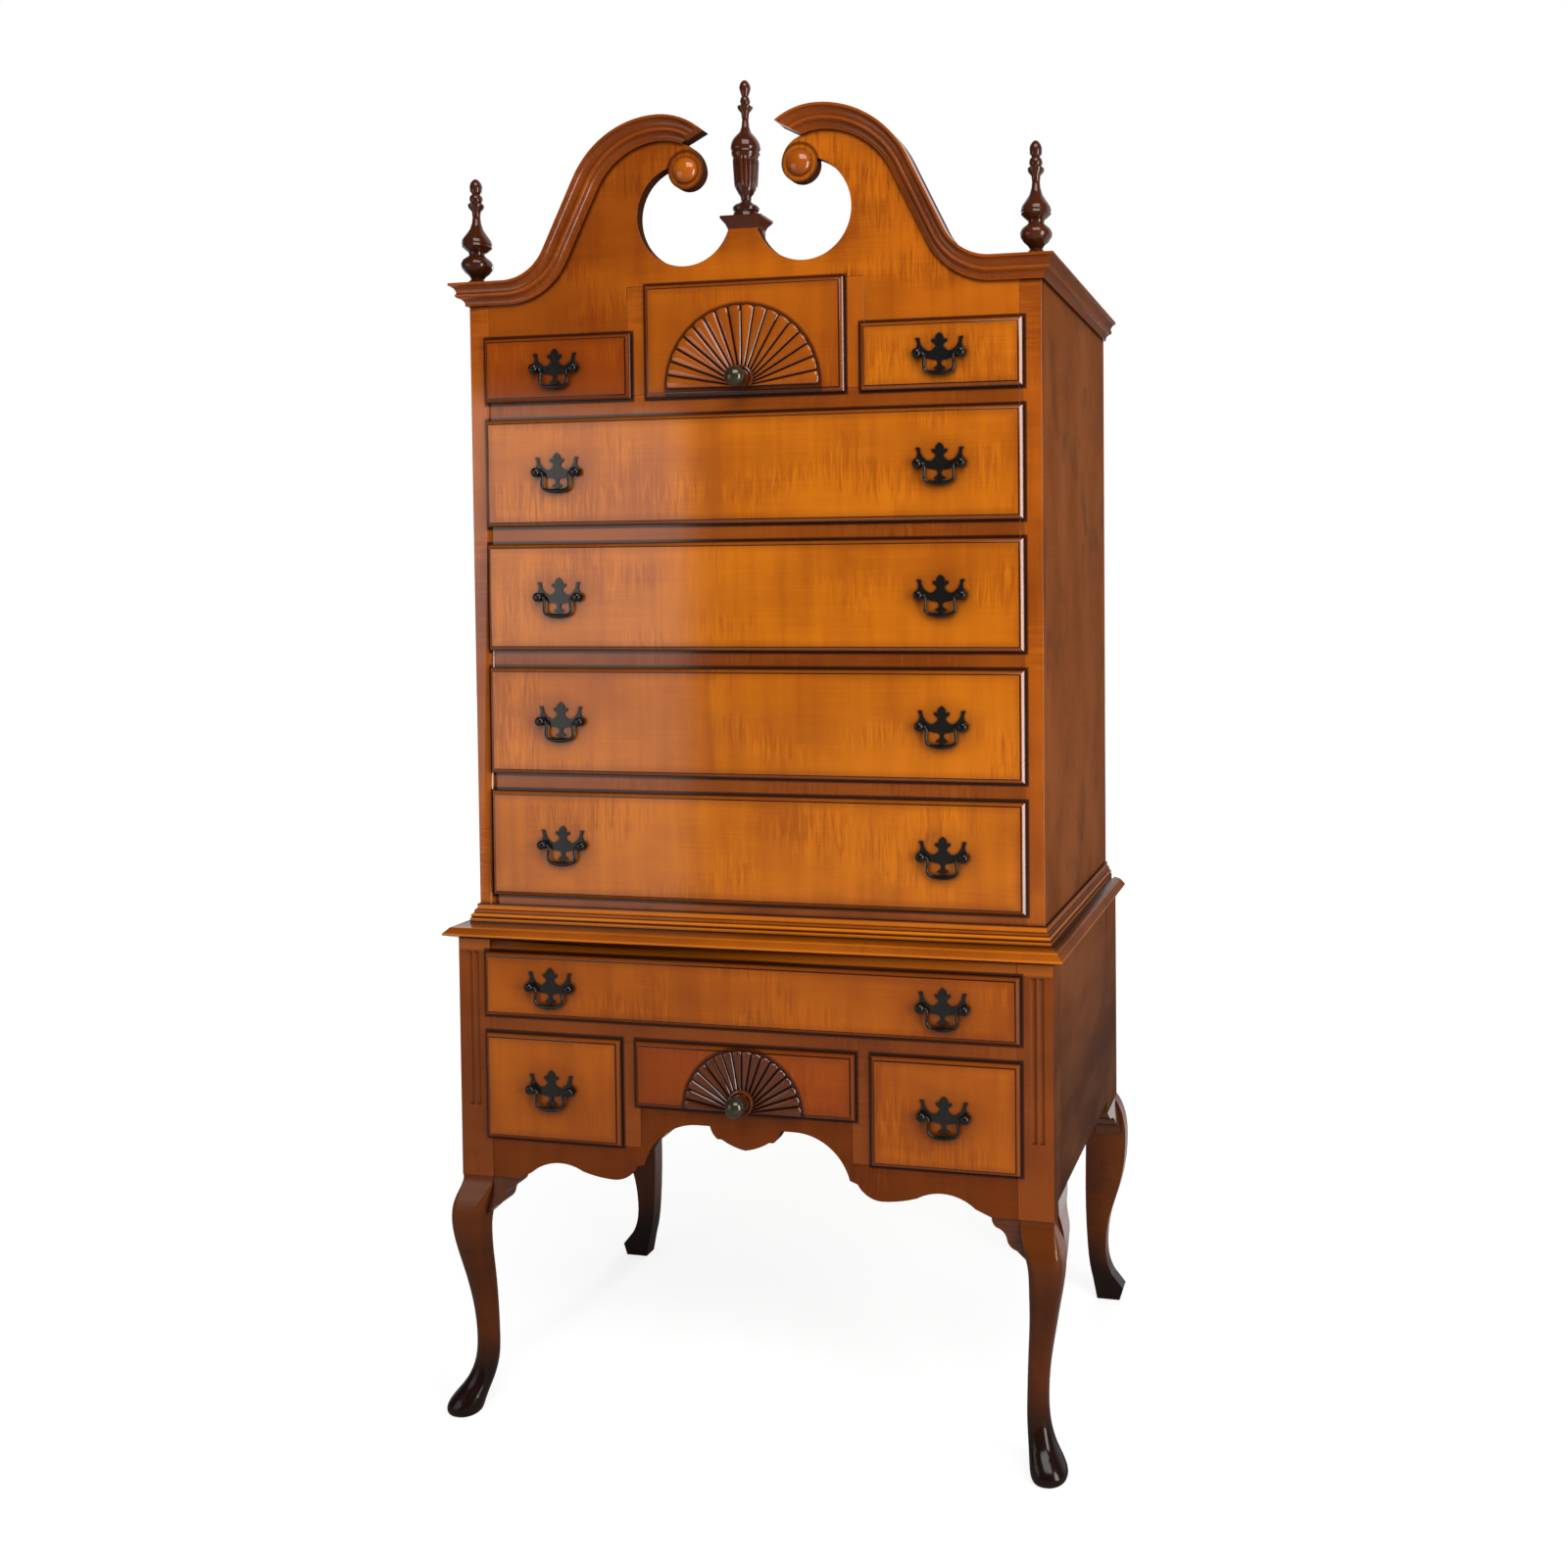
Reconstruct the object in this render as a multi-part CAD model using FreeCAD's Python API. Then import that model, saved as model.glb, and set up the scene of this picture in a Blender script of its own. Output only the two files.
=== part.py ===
"""Scroll-top highboy in maple: an upper case of drawers on a lower case with cabriole legs.

Millimetres, +Z up. The origin is on the floor under the middle of the whole piece. The front faces -Y and
+X is the viewer's right. Driving sizes come first, then the planes and levels that follow from them, then a
function for each kind of piece. The last lines write one STEP file for each sub-part.

An outline is a list of entries: (u, v) is a straight edge to that point, and (um, vm, u, v) is a circular
arc over (um, vm) to (u, v).
"""
import math
import os
from collections import namedtuple

import FreeCAD
import Part

Vector = FreeCAD.Vector

# ---------------------------------------------------------------- upper case
upper_width = 914.0
upper_depth = 500.0
board = 19.0
frame_thickness = 20.0
stile_show = 27.0
rail_show = 26.5
divider_show = 25.0
bottom_rail_show = 15.5
back_panel = 6.0
back_inset = 6.0

# ---------------------------------------------------------------- drawers
lip_overlay = 6.0
lip_proud = 8.0
lip_rounding = 5.0
lip_gap = 0.3
front_inside = 12.0
front_clearance = 1.5
long_front_height = 165.5
long_front_count = 4
small_front_height = 99.5
middle_front_height = 169.5
middle_front_width = 318.0
drawer_side = 12.0
drawer_floor = 5.0
floor_groove_up = 3.0
box_side_clearance = 2.0
box_top_clearance = 8.0
box_back_drop = 12.0
runner_gap = 0.3
box_end_clearance = 38.0
runner_width = 38.0
runner_height = 19.0
guide_height = 18.0
guide_setback = 1.0

# ---------------------------------------------------------------- lower case
case_step = 30.0
lower_overhang = 18.0
post_show = 48.0
post_depth = 50.0
rear_stile_width = 100.0
side_panel = 16.0
side_panel_rise = 20.0
lower_long_height = 99.5
lower_side_height = 165.0
lower_middle_height = 100.5
lower_middle_width = 352.0
lower_divider_show = 24.0
lower_top_rail_show = 18.0
apron_depth = 64.0
flute_count = 2
flute_width = 9.5
flute_depth = 2.5
flute_pitch = 11.5
flute_bottom_rise = 112.0
flute_top_drop = 20.0

# ---------------------------------------------------------------- waist
top_board = 22.0
top_lip = 17.0
top_lip_rise = 7.0
top_lip_edge = 3.0
top_crown = 3.5
waist_height = 26.5
waist_projection = 11.0

# ---------------------------------------------------------------- cornice and scrolled pediment
frieze_height = 52.5
cornice_height = 33.0
cornice_projection = 22.0
pediment_thickness = 17.0
scroll_shoulder = 70.0
scroll_slope_room = 28.0
scroll_round_radius = 155.0
scroll_crest_radius = 110.0
scroll_crest_x = 126.0
scroll_rise = 233.5
beak_x = 61.0
beak_notch_x = 95.0
beak_notch_drop = 38.5
lobe_x = 91.0
lobe_radius = 28.5
lobe_rise = 155.0
lobe_neck_inset = 19.5
lobe_neck_rise = 24.5
opening_x = 95.0
opening_radius = 76.0
opening_rise = 88.0
pedestal_half = 24.0
pedestal_rise = 64.0
plinth_depth = 28.0
plinth_block_height = 30.0
plinth_cap = 17.5
plinth_cap_lip = 8.5
rosette_radius = 15.5
rosette_height = 9.0

# ---------------------------------------------------------------- turned finials
finial_height = 205.5
finial_radius = 22.0
corner_finial_height = 166.0
corner_finial_radius = 24.5
corner_finial_inset = 9.0
corner_finial_back = pediment_thickness / 2
dowel_radius = 5.0
dowel_length = 16.0

# ---------------------------------------------------------------- carved fans and knobs
upper_fan_radius = 122.0
upper_fan_rise = 11.5
upper_hub_rise = 23.5
lower_fan_radius = 94.0
lower_fan_rise = 3.0
lower_hub_rise = 19.5
fan_relief = 6.0
fan_petals = 18
fan_rim_groove = 4.0
fan_hub_groove = 1.2
fan_hub_radius = 19.0
fan_hub_relief = 9.0
knob_radius = 12.5
knob_projection = 38.5
knob_shank_radius = 3.0
knob_neck_radius = 5.5
knob_collar = 2.0

# ---------------------------------------------------------------- legs and knee blocks
leg_height = 368.0
leg_block = 52.0
rear_leg_thickness = 28.0
knee_block_reach = 42.0
knee_block_drop = 66.0
knee_block_thickness = 34.0
front_knee_thickness = 30.0
knee_block_setback = 2.0
side_knee_proud = 12.0
knee_tuck = 0.40
side_knee_tuck = 0.56

# ---------------------------------------------------------------- apron
pendant_drop = 6.0
pendant_shoulder_drop = 19.0
pendant_half = 57.0
arch_rise = 104.0
arch_radius = 90.0
arch_centre_x = 78.0
arch_end_x = 165.0
apron_valley = 10.0
apron_hump = 28.0

# ---------------------------------------------------------------- pulls
upper_pull_inset = 124.0
lower_pull_inset = 114.0
plate_thickness = 1.5
plate_offset = 2.0
post_spacing = 66.0
boss_radius = 7.0
boss_depth = 10.0
shank_radius = 2.5
shank_clearance = 0.25
nut_radius = 5.0
nut_thickness = 4.0
bail_radius = 2.1
bail_clearance = 0.1
bail_end_clearance = 0.5
bail_half_width = 22.5
bail_bend = 3.9
bail_drop = 29.0
bail_corner = 9.0
bail_pin_reach = 31.5
bail_axis_out = 6.0

# ---------------------------------------------------------------- how far a cutting shape runs past the wood
past = 60.0

# ---------------------------------------------------------------- planes and levels that follow
total_depth = upper_depth + case_step + lip_gap + lip_proud + knob_projection
back_plane = total_depth / 2
upper_front = back_plane - upper_depth
lower_front = upper_front - case_step
back_panel_front = back_plane - back_inset - back_panel

upper_half = upper_width / 2
upper_inner = upper_half - board
upper_lip_half = upper_half - stile_show
upper_opening_half = upper_lip_half - lip_overlay
lower_half = upper_half + lower_overhang
lower_lip_half = lower_half - post_show
lower_opening_half = lower_lip_half - lip_overlay
lower_side_face = lower_half - frame_thickness

lower_row_bottom = leg_height + apron_depth
lower_row_top = lower_row_bottom + lower_side_height
lower_middle_bottom = lower_row_top - lower_middle_height
lower_long_bottom = lower_row_top + rail_show
lower_long_top = lower_long_bottom + lower_long_height
top_board_under = lower_long_top + lower_top_rail_show
upper_bottom = top_board_under + top_board
first_long_bottom = upper_bottom + waist_height + bottom_rail_show
long_pitch = long_front_height + rail_show
row_bottom = first_long_bottom + long_front_count * long_pitch
small_row_top = row_bottom + small_front_height
middle_top = row_bottom + middle_front_height
cornice_bottom = small_row_top + frieze_height
cornice_top = cornice_bottom + cornice_height
crest = cornice_top + scroll_rise
pedestal_top = cornice_top + pedestal_rise
scroll_reach = upper_half - scroll_shoulder - scroll_crest_x
scroll_hollow_radius = scroll_reach - scroll_round_radius - scroll_slope_room

middle_half = middle_front_width / 2
small_inner = middle_half + divider_show
lower_middle_half = lower_middle_width / 2
lower_side_inner = lower_middle_half + lower_divider_show

Drawer = namedtuple("Drawer", "name x0 x1 z0 z1 front pulls fan")
Fan = namedtuple("Fan", "x z radius hub_z")


# ================================================================ tools
def box(x0, x1, y0, y1, z0, z1):
    """A board with its faces square to the axes, given by its corners in any order."""
    low = Vector(min(x0, x1), min(y0, y1), min(z0, z1))
    return Part.makeBox(abs(x1 - x0), abs(y1 - y0), abs(z1 - z0), low)


def pair(make):
    """The left and right copy of a piece that make(side) builds, with side -1 and 1."""
    return [make(-1), make(1)]


def mirrored(shape):
    """The same piece on the other side of the middle of the case."""
    return shape.mirror(Vector(0, 0, 0), Vector(1, 0, 0))


def on_side(shape, side):
    """A right-hand piece, or its mirror image for the left side."""
    return shape if side > 0 else mirrored(shape)


def line(a, b):
    """A straight edge."""
    return Part.makeLine(a, b)


def arc(a, b, c):
    """A circular edge over three points."""
    return Part.Arc(a, b, c).toShape()


def edges_of(entries, place):
    """The edges of an open outline; place turns its 2-D points into 3-D ones."""
    here = place(*entries[0])
    edges = []
    for entry in entries[1:]:
        there = place(*entry[-2:])
        edges.append(line(here, there) if len(entry) == 2 else arc(here, place(*entry[:2]), there))
        here = there
    return edges


def outline(entries, place):
    """A closed outline: the last point is joined to the first by a straight edge."""
    edges = edges_of(entries, place)
    return Part.Wire(edges + [line(place(*entries[-1][-2:]), place(*entries[0]))])


def extruded(wire, direction):
    """The solid that a flat closed outline sweeps along a straight direction."""
    return Part.Face(wire).extrude(direction)


def front_solid(entries, front, thickness):
    """A board cut to an outline of (x, z) entries, from the plane front backwards."""
    return extruded(outline(entries, lambda x, z: Vector(x, front, z)), Vector(0, thickness, 0))


def turned(entries, spot):
    """A turned piece on a vertical axis over spot; the outline is (radius, height) from the bottom up."""
    closed = [(0, entries[0][1])] + entries
    if entries[-1][-2] > 0:
        closed.append((0, entries[-1][-1]))
    half_section = Part.Face(outline(closed, lambda r, h: Vector(r, 0, h)))
    solid = half_section.revolve(Vector(0, 0, 0), Vector(0, 0, 1), 360)
    solid.translate(spot)
    return solid


def facing_front(shape, spot):
    """Lays a turned piece down so that its top points to the front, with its foot at spot."""
    shape.rotate(Vector(0, 0, 0), Vector(1, 0, 0), 90)
    shape.translate(spot)
    return shape


def scaled(entries, across, up):
    """An outline of shares made into sizes: odd values times across, even values times up."""
    return [tuple(value * (up if i % 2 else across) for i, value in enumerate(entry)) for entry in entries]


def rod(radius, start, along):
    """A round rod from start along a vector."""
    return Part.makeCylinder(radius, along.Length, start, along)


# ================================================================ upper case
def upper_case_boards():
    """Two side boards, the dust board on top and the bottom board."""
    front = upper_front + frame_thickness

    def side(s):
        return box(s * upper_inner, s * upper_half, front, back_plane, upper_bottom, cornice_top)

    dust = box(-upper_inner, upper_inner, front, back_panel_front, cornice_top - board, cornice_top)
    bottom = box(-upper_inner, upper_inner, front, back_panel_front, upper_bottom, upper_bottom + board)
    return Part.makeCompound(pair(side) + [dust, bottom])


def upper_face_frame():
    """Stiles, the five rails and the two dividers beside the middle drawer."""
    back = upper_front + frame_thickness

    def stile(s):
        return box(s * upper_opening_half, s * upper_half, upper_front, back, upper_bottom, cornice_bottom)

    def rail(z0, z1):
        return box(-upper_opening_half, upper_opening_half, upper_front, back, z0, z1)

    def divider(s):
        inner = s * (middle_half - lip_overlay)
        outer = s * (small_inner + lip_overlay)
        return box(inner, outer, upper_front, back, row_bottom + lip_overlay, middle_top)

    rails = [rail(upper_bottom, first_long_bottom + lip_overlay)]
    for i in range(1, long_front_count + 1):
        z = first_long_bottom + i * long_pitch
        rails.append(rail(z - rail_show - lip_overlay, z + lip_overlay))
    return Part.makeCompound(pair(stile) + rails + pair(divider))


def on_circle(centre, radius, turn):
    """The point of a circle in the front plane at an angle from +X, as (x, z)."""
    return (centre[0] + radius * math.cos(turn), centre[1] + radius * math.sin(turn))


def scroll_entries(start_x, crest_turn):
    """The right swan neck's upper edge from start_x inwards, ending on the crest circle at crest_turn."""
    flat_end = upper_half - scroll_shoulder
    hollow = (flat_end, cornice_top + scroll_hollow_radius)
    big = (scroll_crest_x, crest - scroll_round_radius)
    small = (scroll_crest_x, crest - scroll_crest_radius)
    gap = math.hypot(hollow[0] - big[0], hollow[1] - big[1])
    lean = math.atan2(hollow[1] - big[1], hollow[0] - big[0])
    lean += math.acos((scroll_hollow_radius + scroll_round_radius) / gap)
    upright = math.pi / 2
    half_lean = (upright + lean) / 2
    half_crest = (upright + crest_turn) / 2
    return [
        (start_x, cornice_top),
        (flat_end, cornice_top),
        on_circle(hollow, -scroll_hollow_radius, half_lean) + on_circle(hollow, -scroll_hollow_radius, lean),
        on_circle(big, scroll_round_radius, lean),
        on_circle(big, scroll_round_radius, half_lean) + (scroll_crest_x, crest),
        on_circle(small, scroll_crest_radius, half_crest) + on_circle(small, scroll_crest_radius, crest_turn),
    ]


def beak_turn():
    """The angle on the crest circle at which the beak's tip lies."""
    return math.acos((beak_x - scroll_crest_x) / scroll_crest_radius)


def pediment_half():
    """The right half of the pediment board, from the middle line to the case's edge."""
    opening = (opening_x, cornice_top + opening_rise)
    lobe = (lobe_x, cornice_top + lobe_rise)
    pedestal_foot = opening[1] - math.sqrt(opening_radius ** 2 - (opening_x - pedestal_half) ** 2)
    gap_x = lobe[0] - opening[0]
    gap_z = lobe[1] - opening[1]
    gap = math.hypot(gap_x, gap_z)
    opening_turn = math.acos((gap ** 2 + opening_radius ** 2 - lobe_radius ** 2) / (2 * gap * opening_radius))
    meet = on_circle(opening, opening_radius, math.atan2(gap_z, gap_x) - opening_turn)
    entries = [
        (0, pedestal_top), (pedestal_half, pedestal_top), (pedestal_half, pedestal_foot),
        on_circle(opening, opening_radius, -math.pi / 4) + meet,
        (lobe[0], lobe[1] - lobe_radius, lobe[0] - lobe_radius, lobe[1]),
        (lobe[0] - lobe_neck_inset, lobe[1] + lobe_neck_rise, beak_notch_x, crest - beak_notch_drop),
    ]
    scroll = scroll_entries(upper_half, beak_turn())
    entries.append(scroll[-1][-2:])
    for entry, before in zip(reversed(scroll), reversed(scroll[:-1])):
        entries.append(entry[:-2] + before[-2:])
    small_edge = small_row_top - lip_overlay
    middle_edge = middle_top - lip_overlay
    inner = middle_half - lip_overlay
    outer = small_inner + lip_overlay
    entries += [
        (upper_half, cornice_bottom), (upper_opening_half, cornice_bottom), (upper_opening_half, small_edge),
        (outer, small_edge), (outer, middle_top), (inner, middle_top), (inner, middle_edge), (0, middle_edge),
    ]
    return front_solid(entries, upper_front, pediment_thickness)


def corner_finial_spot(side):
    """Where a corner finial stands on the pediment."""
    return Vector(side * (upper_half - corner_finial_inset), upper_front + corner_finial_back, cornice_top)


def pediment_board():
    """The scrolled front board with its two round openings and lobes."""
    half = pediment_half()
    whole = half.fuse(mirrored(half)).removeSplitter()
    for s in (-1, 1):
        whole = whole.cut(rod(dowel_radius, corner_finial_spot(s), Vector(0, 0, -dowel_length)))
    return whole


# section of the cornice: (share of the projection, share of the height below the top edge)
cornice_section = [
    (0, 0), (1, 0), (1, 0.12), (0.92, 0.14), (0.69, 0.27, 0.62, 0.48), (0.68, 0.50), (0.66, 0.60, 0.54, 0.66),
    (0.47, 0.68), (0.27, 0.78, 0.20, 0.92), (0.20, 1), (0, 1),
]


def mitre(moulding, side, in_front):
    """Cuts a moulding along the 45 degree mitre at a front corner of the upper case."""
    corner = (side * upper_half, upper_front)
    tip = (corner[0] + side * past, corner[1] - past)
    third = (tip[0], corner[1]) if in_front else (corner[0], tip[1])
    wedge = extruded(outline([corner, tip, third], lambda x, y: Vector(x, y, 0)), Vector(0, 0, crest + past))
    return moulding.cut(wedge)


def swan_neck(s):
    """One swan-neck moulding, swept along the scroll, mitred at the corner and cut to a beak."""
    start = upper_half + 2 * cornice_projection
    overrun = math.pi - (math.pi - beak_turn()) / 2
    path = Part.Wire(edges_of(scroll_entries(start, overrun), lambda x, z: Vector(x, upper_front, z)))
    section = outline(scaled(cornice_section, cornice_projection, cornice_height),
                      lambda out, down: Vector(start, upper_front - out, cornice_top - down))
    sweep = path.makePipeShell([section], True, False)
    tip = Vector(*scroll_entries(start, beak_turn())[-1][-2:], 0)
    notch = Vector(beak_notch_x, crest - beak_notch_drop, 0)
    along = (notch - tip).normalize() * past
    far = tip - along * 2
    waste = [(far.x, far.y), (notch.x, notch.y), (notch.x, far.y - 4 * past), (far.x, far.y - 4 * past)]
    beak_cut = front_solid(waste, upper_front - past, 2 * past)
    return on_side(mitre(sweep.cut(beak_cut), 1, True), s)


def side_strip(section, side, level, upwards):
    """A straight moulding along one side of the upper case, mitred at its front end."""
    def place(out, along):
        return Vector(side * (upper_half + out), upper_front - past, level + upwards * along)

    strip = extruded(outline(section, place), Vector(0, upper_depth + past, 0))
    return mitre(strip, side, False)


def cornice_moulding():
    """Both swan necks and both side returns."""
    section = scaled(cornice_section, cornice_projection, cornice_height)
    returns = pair(lambda s: side_strip(section, s, cornice_top, -1))
    return Part.makeCompound(pair(swan_neck) + returns)


# ================================================================ finials, plinth and rosettes
# turned outlines from the foot up: (share of the largest radius, share of the height)
middle_finial_shape = [
    (0.97, 0), (0.97, 0.02), (0.82, 0.038, 0.76, 0.066), (0.86, 0.074), (0.90, 0.096, 0.58, 0.128),
    (0.38, 0.145), (0.38, 0.17), (0.55, 0.205, 0.72, 0.26), (0.83, 0.44), (0.89, 0.455), (0.93, 0.48),
    (1.0, 0.52, 0.92, 0.56), (0.53, 0.613), (0.29, 0.648, 0.215, 0.70), (0.22, 0.74), (0.30, 0.77),
    (0.53, 0.81), (0.50, 0.826), (0.29, 0.84), (0.33, 0.86, 0.26, 0.88), (0.40, 0.935, 0.05, 1.0),
]
corner_finial_shape = [
    (0.68, 0), (0.68, 0.075), (0.50, 0.087, 0.42, 0.115), (0.40, 0.13), (0.72, 0.15),
    (1.0, 0.235, 0.72, 0.315), (0.46, 0.328), (0.46, 0.342), (0.72, 0.362), (0.92, 0.42, 0.70, 0.478),
    (0.34, 0.54, 0.23, 0.63), (0.25, 0.68), (0.51, 0.75), (0.51, 0.765), (0.34, 0.80), (0.38, 0.84),
    (0.33, 0.86), (0.42, 0.925, 0.08, 1.0),
]


def finial(shape, radius, height, spot):
    """A turned finial with a dowel under its foot."""
    return turned([(dowel_radius, -dowel_length), (dowel_radius, 0)] + scaled(shape, radius, height), spot)


def plinth(middle_y):
    """The block behind the pediment's pedestal, and the moulded cap that it and the pedestal carry."""
    block = box(-pedestal_half, pedestal_half, upper_front + pediment_thickness, upper_front + plinth_depth,
                pedestal_top - plinth_block_height, pedestal_top)
    sections = []
    for out_share, rise_share in ((0, 0), (0.3, 0.35), (1, 0.8), (1, 1)):
        out = out_share * plinth_cap_lip
        sections.append(rectangle(pedestal_half + out, upper_front - out, upper_front + plinth_depth + out,
                                  pedestal_top + rise_share * plinth_cap))
    socket = rod(dowel_radius, Vector(0, middle_y, pedestal_top + plinth_cap), Vector(0, 0, -dowel_length))
    return [block, Part.makeLoft(sections, True, True).cut(socket)]


def rosette(s):
    """A round turned button on the lobe of the scroll."""
    shape = [(1, 0), (1, 0.22), (0.80, 0.80, 0.06, 1.0)]
    spot = Vector(s * lobe_x, upper_front, cornice_top + lobe_rise)
    return facing_front(turned(scaled(shape, rosette_radius, rosette_height), Vector(0, 0, 0)), spot)


def finials_and_rosettes():
    """Plinth block and cap, the three finials and the two rosettes."""
    middle_y = upper_front + plinth_depth / 2
    middle = finial(middle_finial_shape, finial_radius, finial_height,
                    Vector(0, middle_y, pedestal_top + plinth_cap))
    corners = pair(lambda s: finial(corner_finial_shape, corner_finial_radius, corner_finial_height,
                                    corner_finial_spot(s)))
    return Part.makeCompound(plinth(middle_y) + [middle] + corners + pair(rosette))


# ================================================================ waist
def rectangle(half_x, front, back, z):
    """A level rectangle, for lofts of boards with shaped edges."""
    return outline([(-half_x, front), (half_x, front), (half_x, back), (-half_x, back)],
                   lambda x, y: Vector(x, y, z))


# section of the waist moulding: (share of the projection, share of the height)
waist_section = [
    (0, 0), (1, 0), (1, 0.20), (0.80, 0.24), (0.92, 0.36, 0.74, 0.46), (0.58, 0.50), (0.58, 0.66),
    (0.36, 0.72, 0.28, 0.90), (0.28, 1), (0, 1),
]


def waist_moulding():
    """The lower case's top board with its thin lip, and three mitred strips round the upper case's foot."""
    lip_low = top_board_under + top_lip_rise
    seat = waist_projection + top_crown
    levels = [
        (lower_half, lower_front, top_board_under),
        (lower_half + top_lip, lower_front - top_lip, lip_low),
        (lower_half + top_lip, lower_front - top_lip, lip_low + top_lip_edge),
        (lower_half + top_lip / 2, lower_front - top_lip / 2, upper_bottom - top_crown),
        (upper_half + seat, upper_front - seat, upper_bottom),
    ]
    top = Part.makeLoft([rectangle(half, front, back_plane, z) for half, front, z in levels], True, True)
    section = scaled(waist_section, waist_projection, waist_height)
    start = upper_half + past
    front = extruded(outline(section, lambda out, up: Vector(-start, upper_front - out, upper_bottom + up)),
                     Vector(2 * start, 0, 0))
    front = mitre(mitre(front, 1, True), -1, True)
    sides = pair(lambda s: side_strip(section, s, upper_bottom, 1))
    return Part.makeCompound([top, front] + sides)


# ================================================================ lower case
def lower_case_boards():
    """Side panels and the rear stiles that stand on the rear legs."""
    stile_front = back_plane - rear_stile_width

    def panel(s):
        return box(s * (lower_half - side_panel), s * lower_half, lower_front + post_depth, stile_front,
                   leg_height + side_panel_rise, top_board_under)

    def stile(s):
        return box(s * lower_side_face, s * lower_half, stile_front, back_plane, leg_height, top_board_under)

    return Part.makeCompound(pair(panel) + pair(stile))


def lower_face_frame():
    """Fluted front posts, two rails and the two dividers."""
    back = lower_front + frame_thickness
    flute_low = leg_height + flute_bottom_rise
    flute_length = top_board_under - flute_top_drop - flute_low
    flute_round = (flute_width ** 2 / 4 + flute_depth ** 2) / (2 * flute_depth)

    def post(s):
        wood = box(s * lower_opening_half, s * lower_half, lower_front, lower_front + post_depth,
                   leg_height, top_board_under)
        middle = (lower_lip_half + lower_half) / 2
        for i in range(flute_count):
            x = s * (middle + (i - (flute_count - 1) / 2) * flute_pitch)
            spot = Vector(x, lower_front + flute_depth - flute_round, flute_low)
            wood = wood.cut(rod(flute_round, spot, Vector(0, 0, flute_length)))
        return wood

    def divider(s):
        inner = s * (lower_middle_half - lip_overlay)
        outer = s * (lower_side_inner + lip_overlay)
        return box(inner, outer, lower_front, back, lower_row_bottom, lower_row_top - lip_overlay)

    def rail(z0, z1):
        return box(-lower_opening_half, lower_opening_half, lower_front, back, z0, z1)

    rails = [rail(lower_long_top - lip_overlay, top_board_under),
             rail(lower_row_top - lip_overlay, lower_long_bottom + lip_overlay)]
    return Part.makeCompound(pair(post) + rails + pair(divider))


def apron_half():
    """The right half of the scrolled apron: pendant, arch, a valley and a hump, up to the knee block."""
    arch = (arch_centre_x, leg_height + arch_rise - arch_radius)
    arch_top = leg_height + arch_rise
    shoulder = arch_top - pendant_shoulder_drop
    pendant = lower_middle_bottom - apron_depth + pendant_drop
    arch_end = arch[1] + math.sqrt(arch_radius ** 2 - (arch_end_x - arch_centre_x) ** 2)
    wave_end = lower_half - leg_block - knee_block_reach
    wave = wave_end - arch_end_x
    valley = leg_height + apron_valley
    slope = leg_height + (apron_valley + apron_hump) / 2

    def wave_x(share):
        return arch_end_x + share * wave

    entries = [
        (0, pendant),
        (0.37 * pendant_half, pendant + 0.4 * (shoulder - pendant), 0.67 * pendant_half, shoulder),
        (0.79 * pendant_half, shoulder),
        (0.91 * pendant_half, shoulder + 0.37 * pendant_shoulder_drop, pendant_half, arch_top),
        (arch_centre_x, arch_top),
        on_circle(arch, arch_radius, math.pi / 4) + (arch_end_x, arch_end),
        (wave_x(0.055), arch_end - 0.15 * apron_hump),
        (wave_x(0.12), valley + 0.27 * apron_hump, wave_x(0.23), valley),
        (wave_x(0.37), valley + 0.11 * apron_hump, wave_x(0.48), slope),
        (wave_x(0.71), leg_height + apron_hump, wave_x(0.89), valley),
        (wave_end, leg_height),
        (lower_opening_half, leg_height),
        (lower_opening_half, lower_row_bottom + lip_overlay),
        (lower_side_inner + lip_overlay, lower_row_bottom + lip_overlay),
        (lower_side_inner + lip_overlay, lower_row_bottom),
        (lower_middle_half - lip_overlay, lower_row_bottom),
        (lower_middle_half - lip_overlay, lower_middle_bottom + lip_overlay),
        (0, lower_middle_bottom + lip_overlay),
    ]
    return front_solid(entries, lower_front, frame_thickness)


def scrolled_apron():
    """The apron board under the lower row of drawers."""
    half = apron_half()
    return half.fuse(mirrored(half)).removeSplitter()


def back_panels():
    """The thin boards let in behind the upper and the lower case."""
    back = back_panel_front + back_panel
    upper = box(-upper_inner, upper_inner, back_panel_front, back, upper_bottom, cornice_top)
    lower = box(-lower_side_face, lower_side_face, back_panel_front, back, leg_height, top_board_under)
    return Part.makeCompound([upper, lower])


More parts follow.
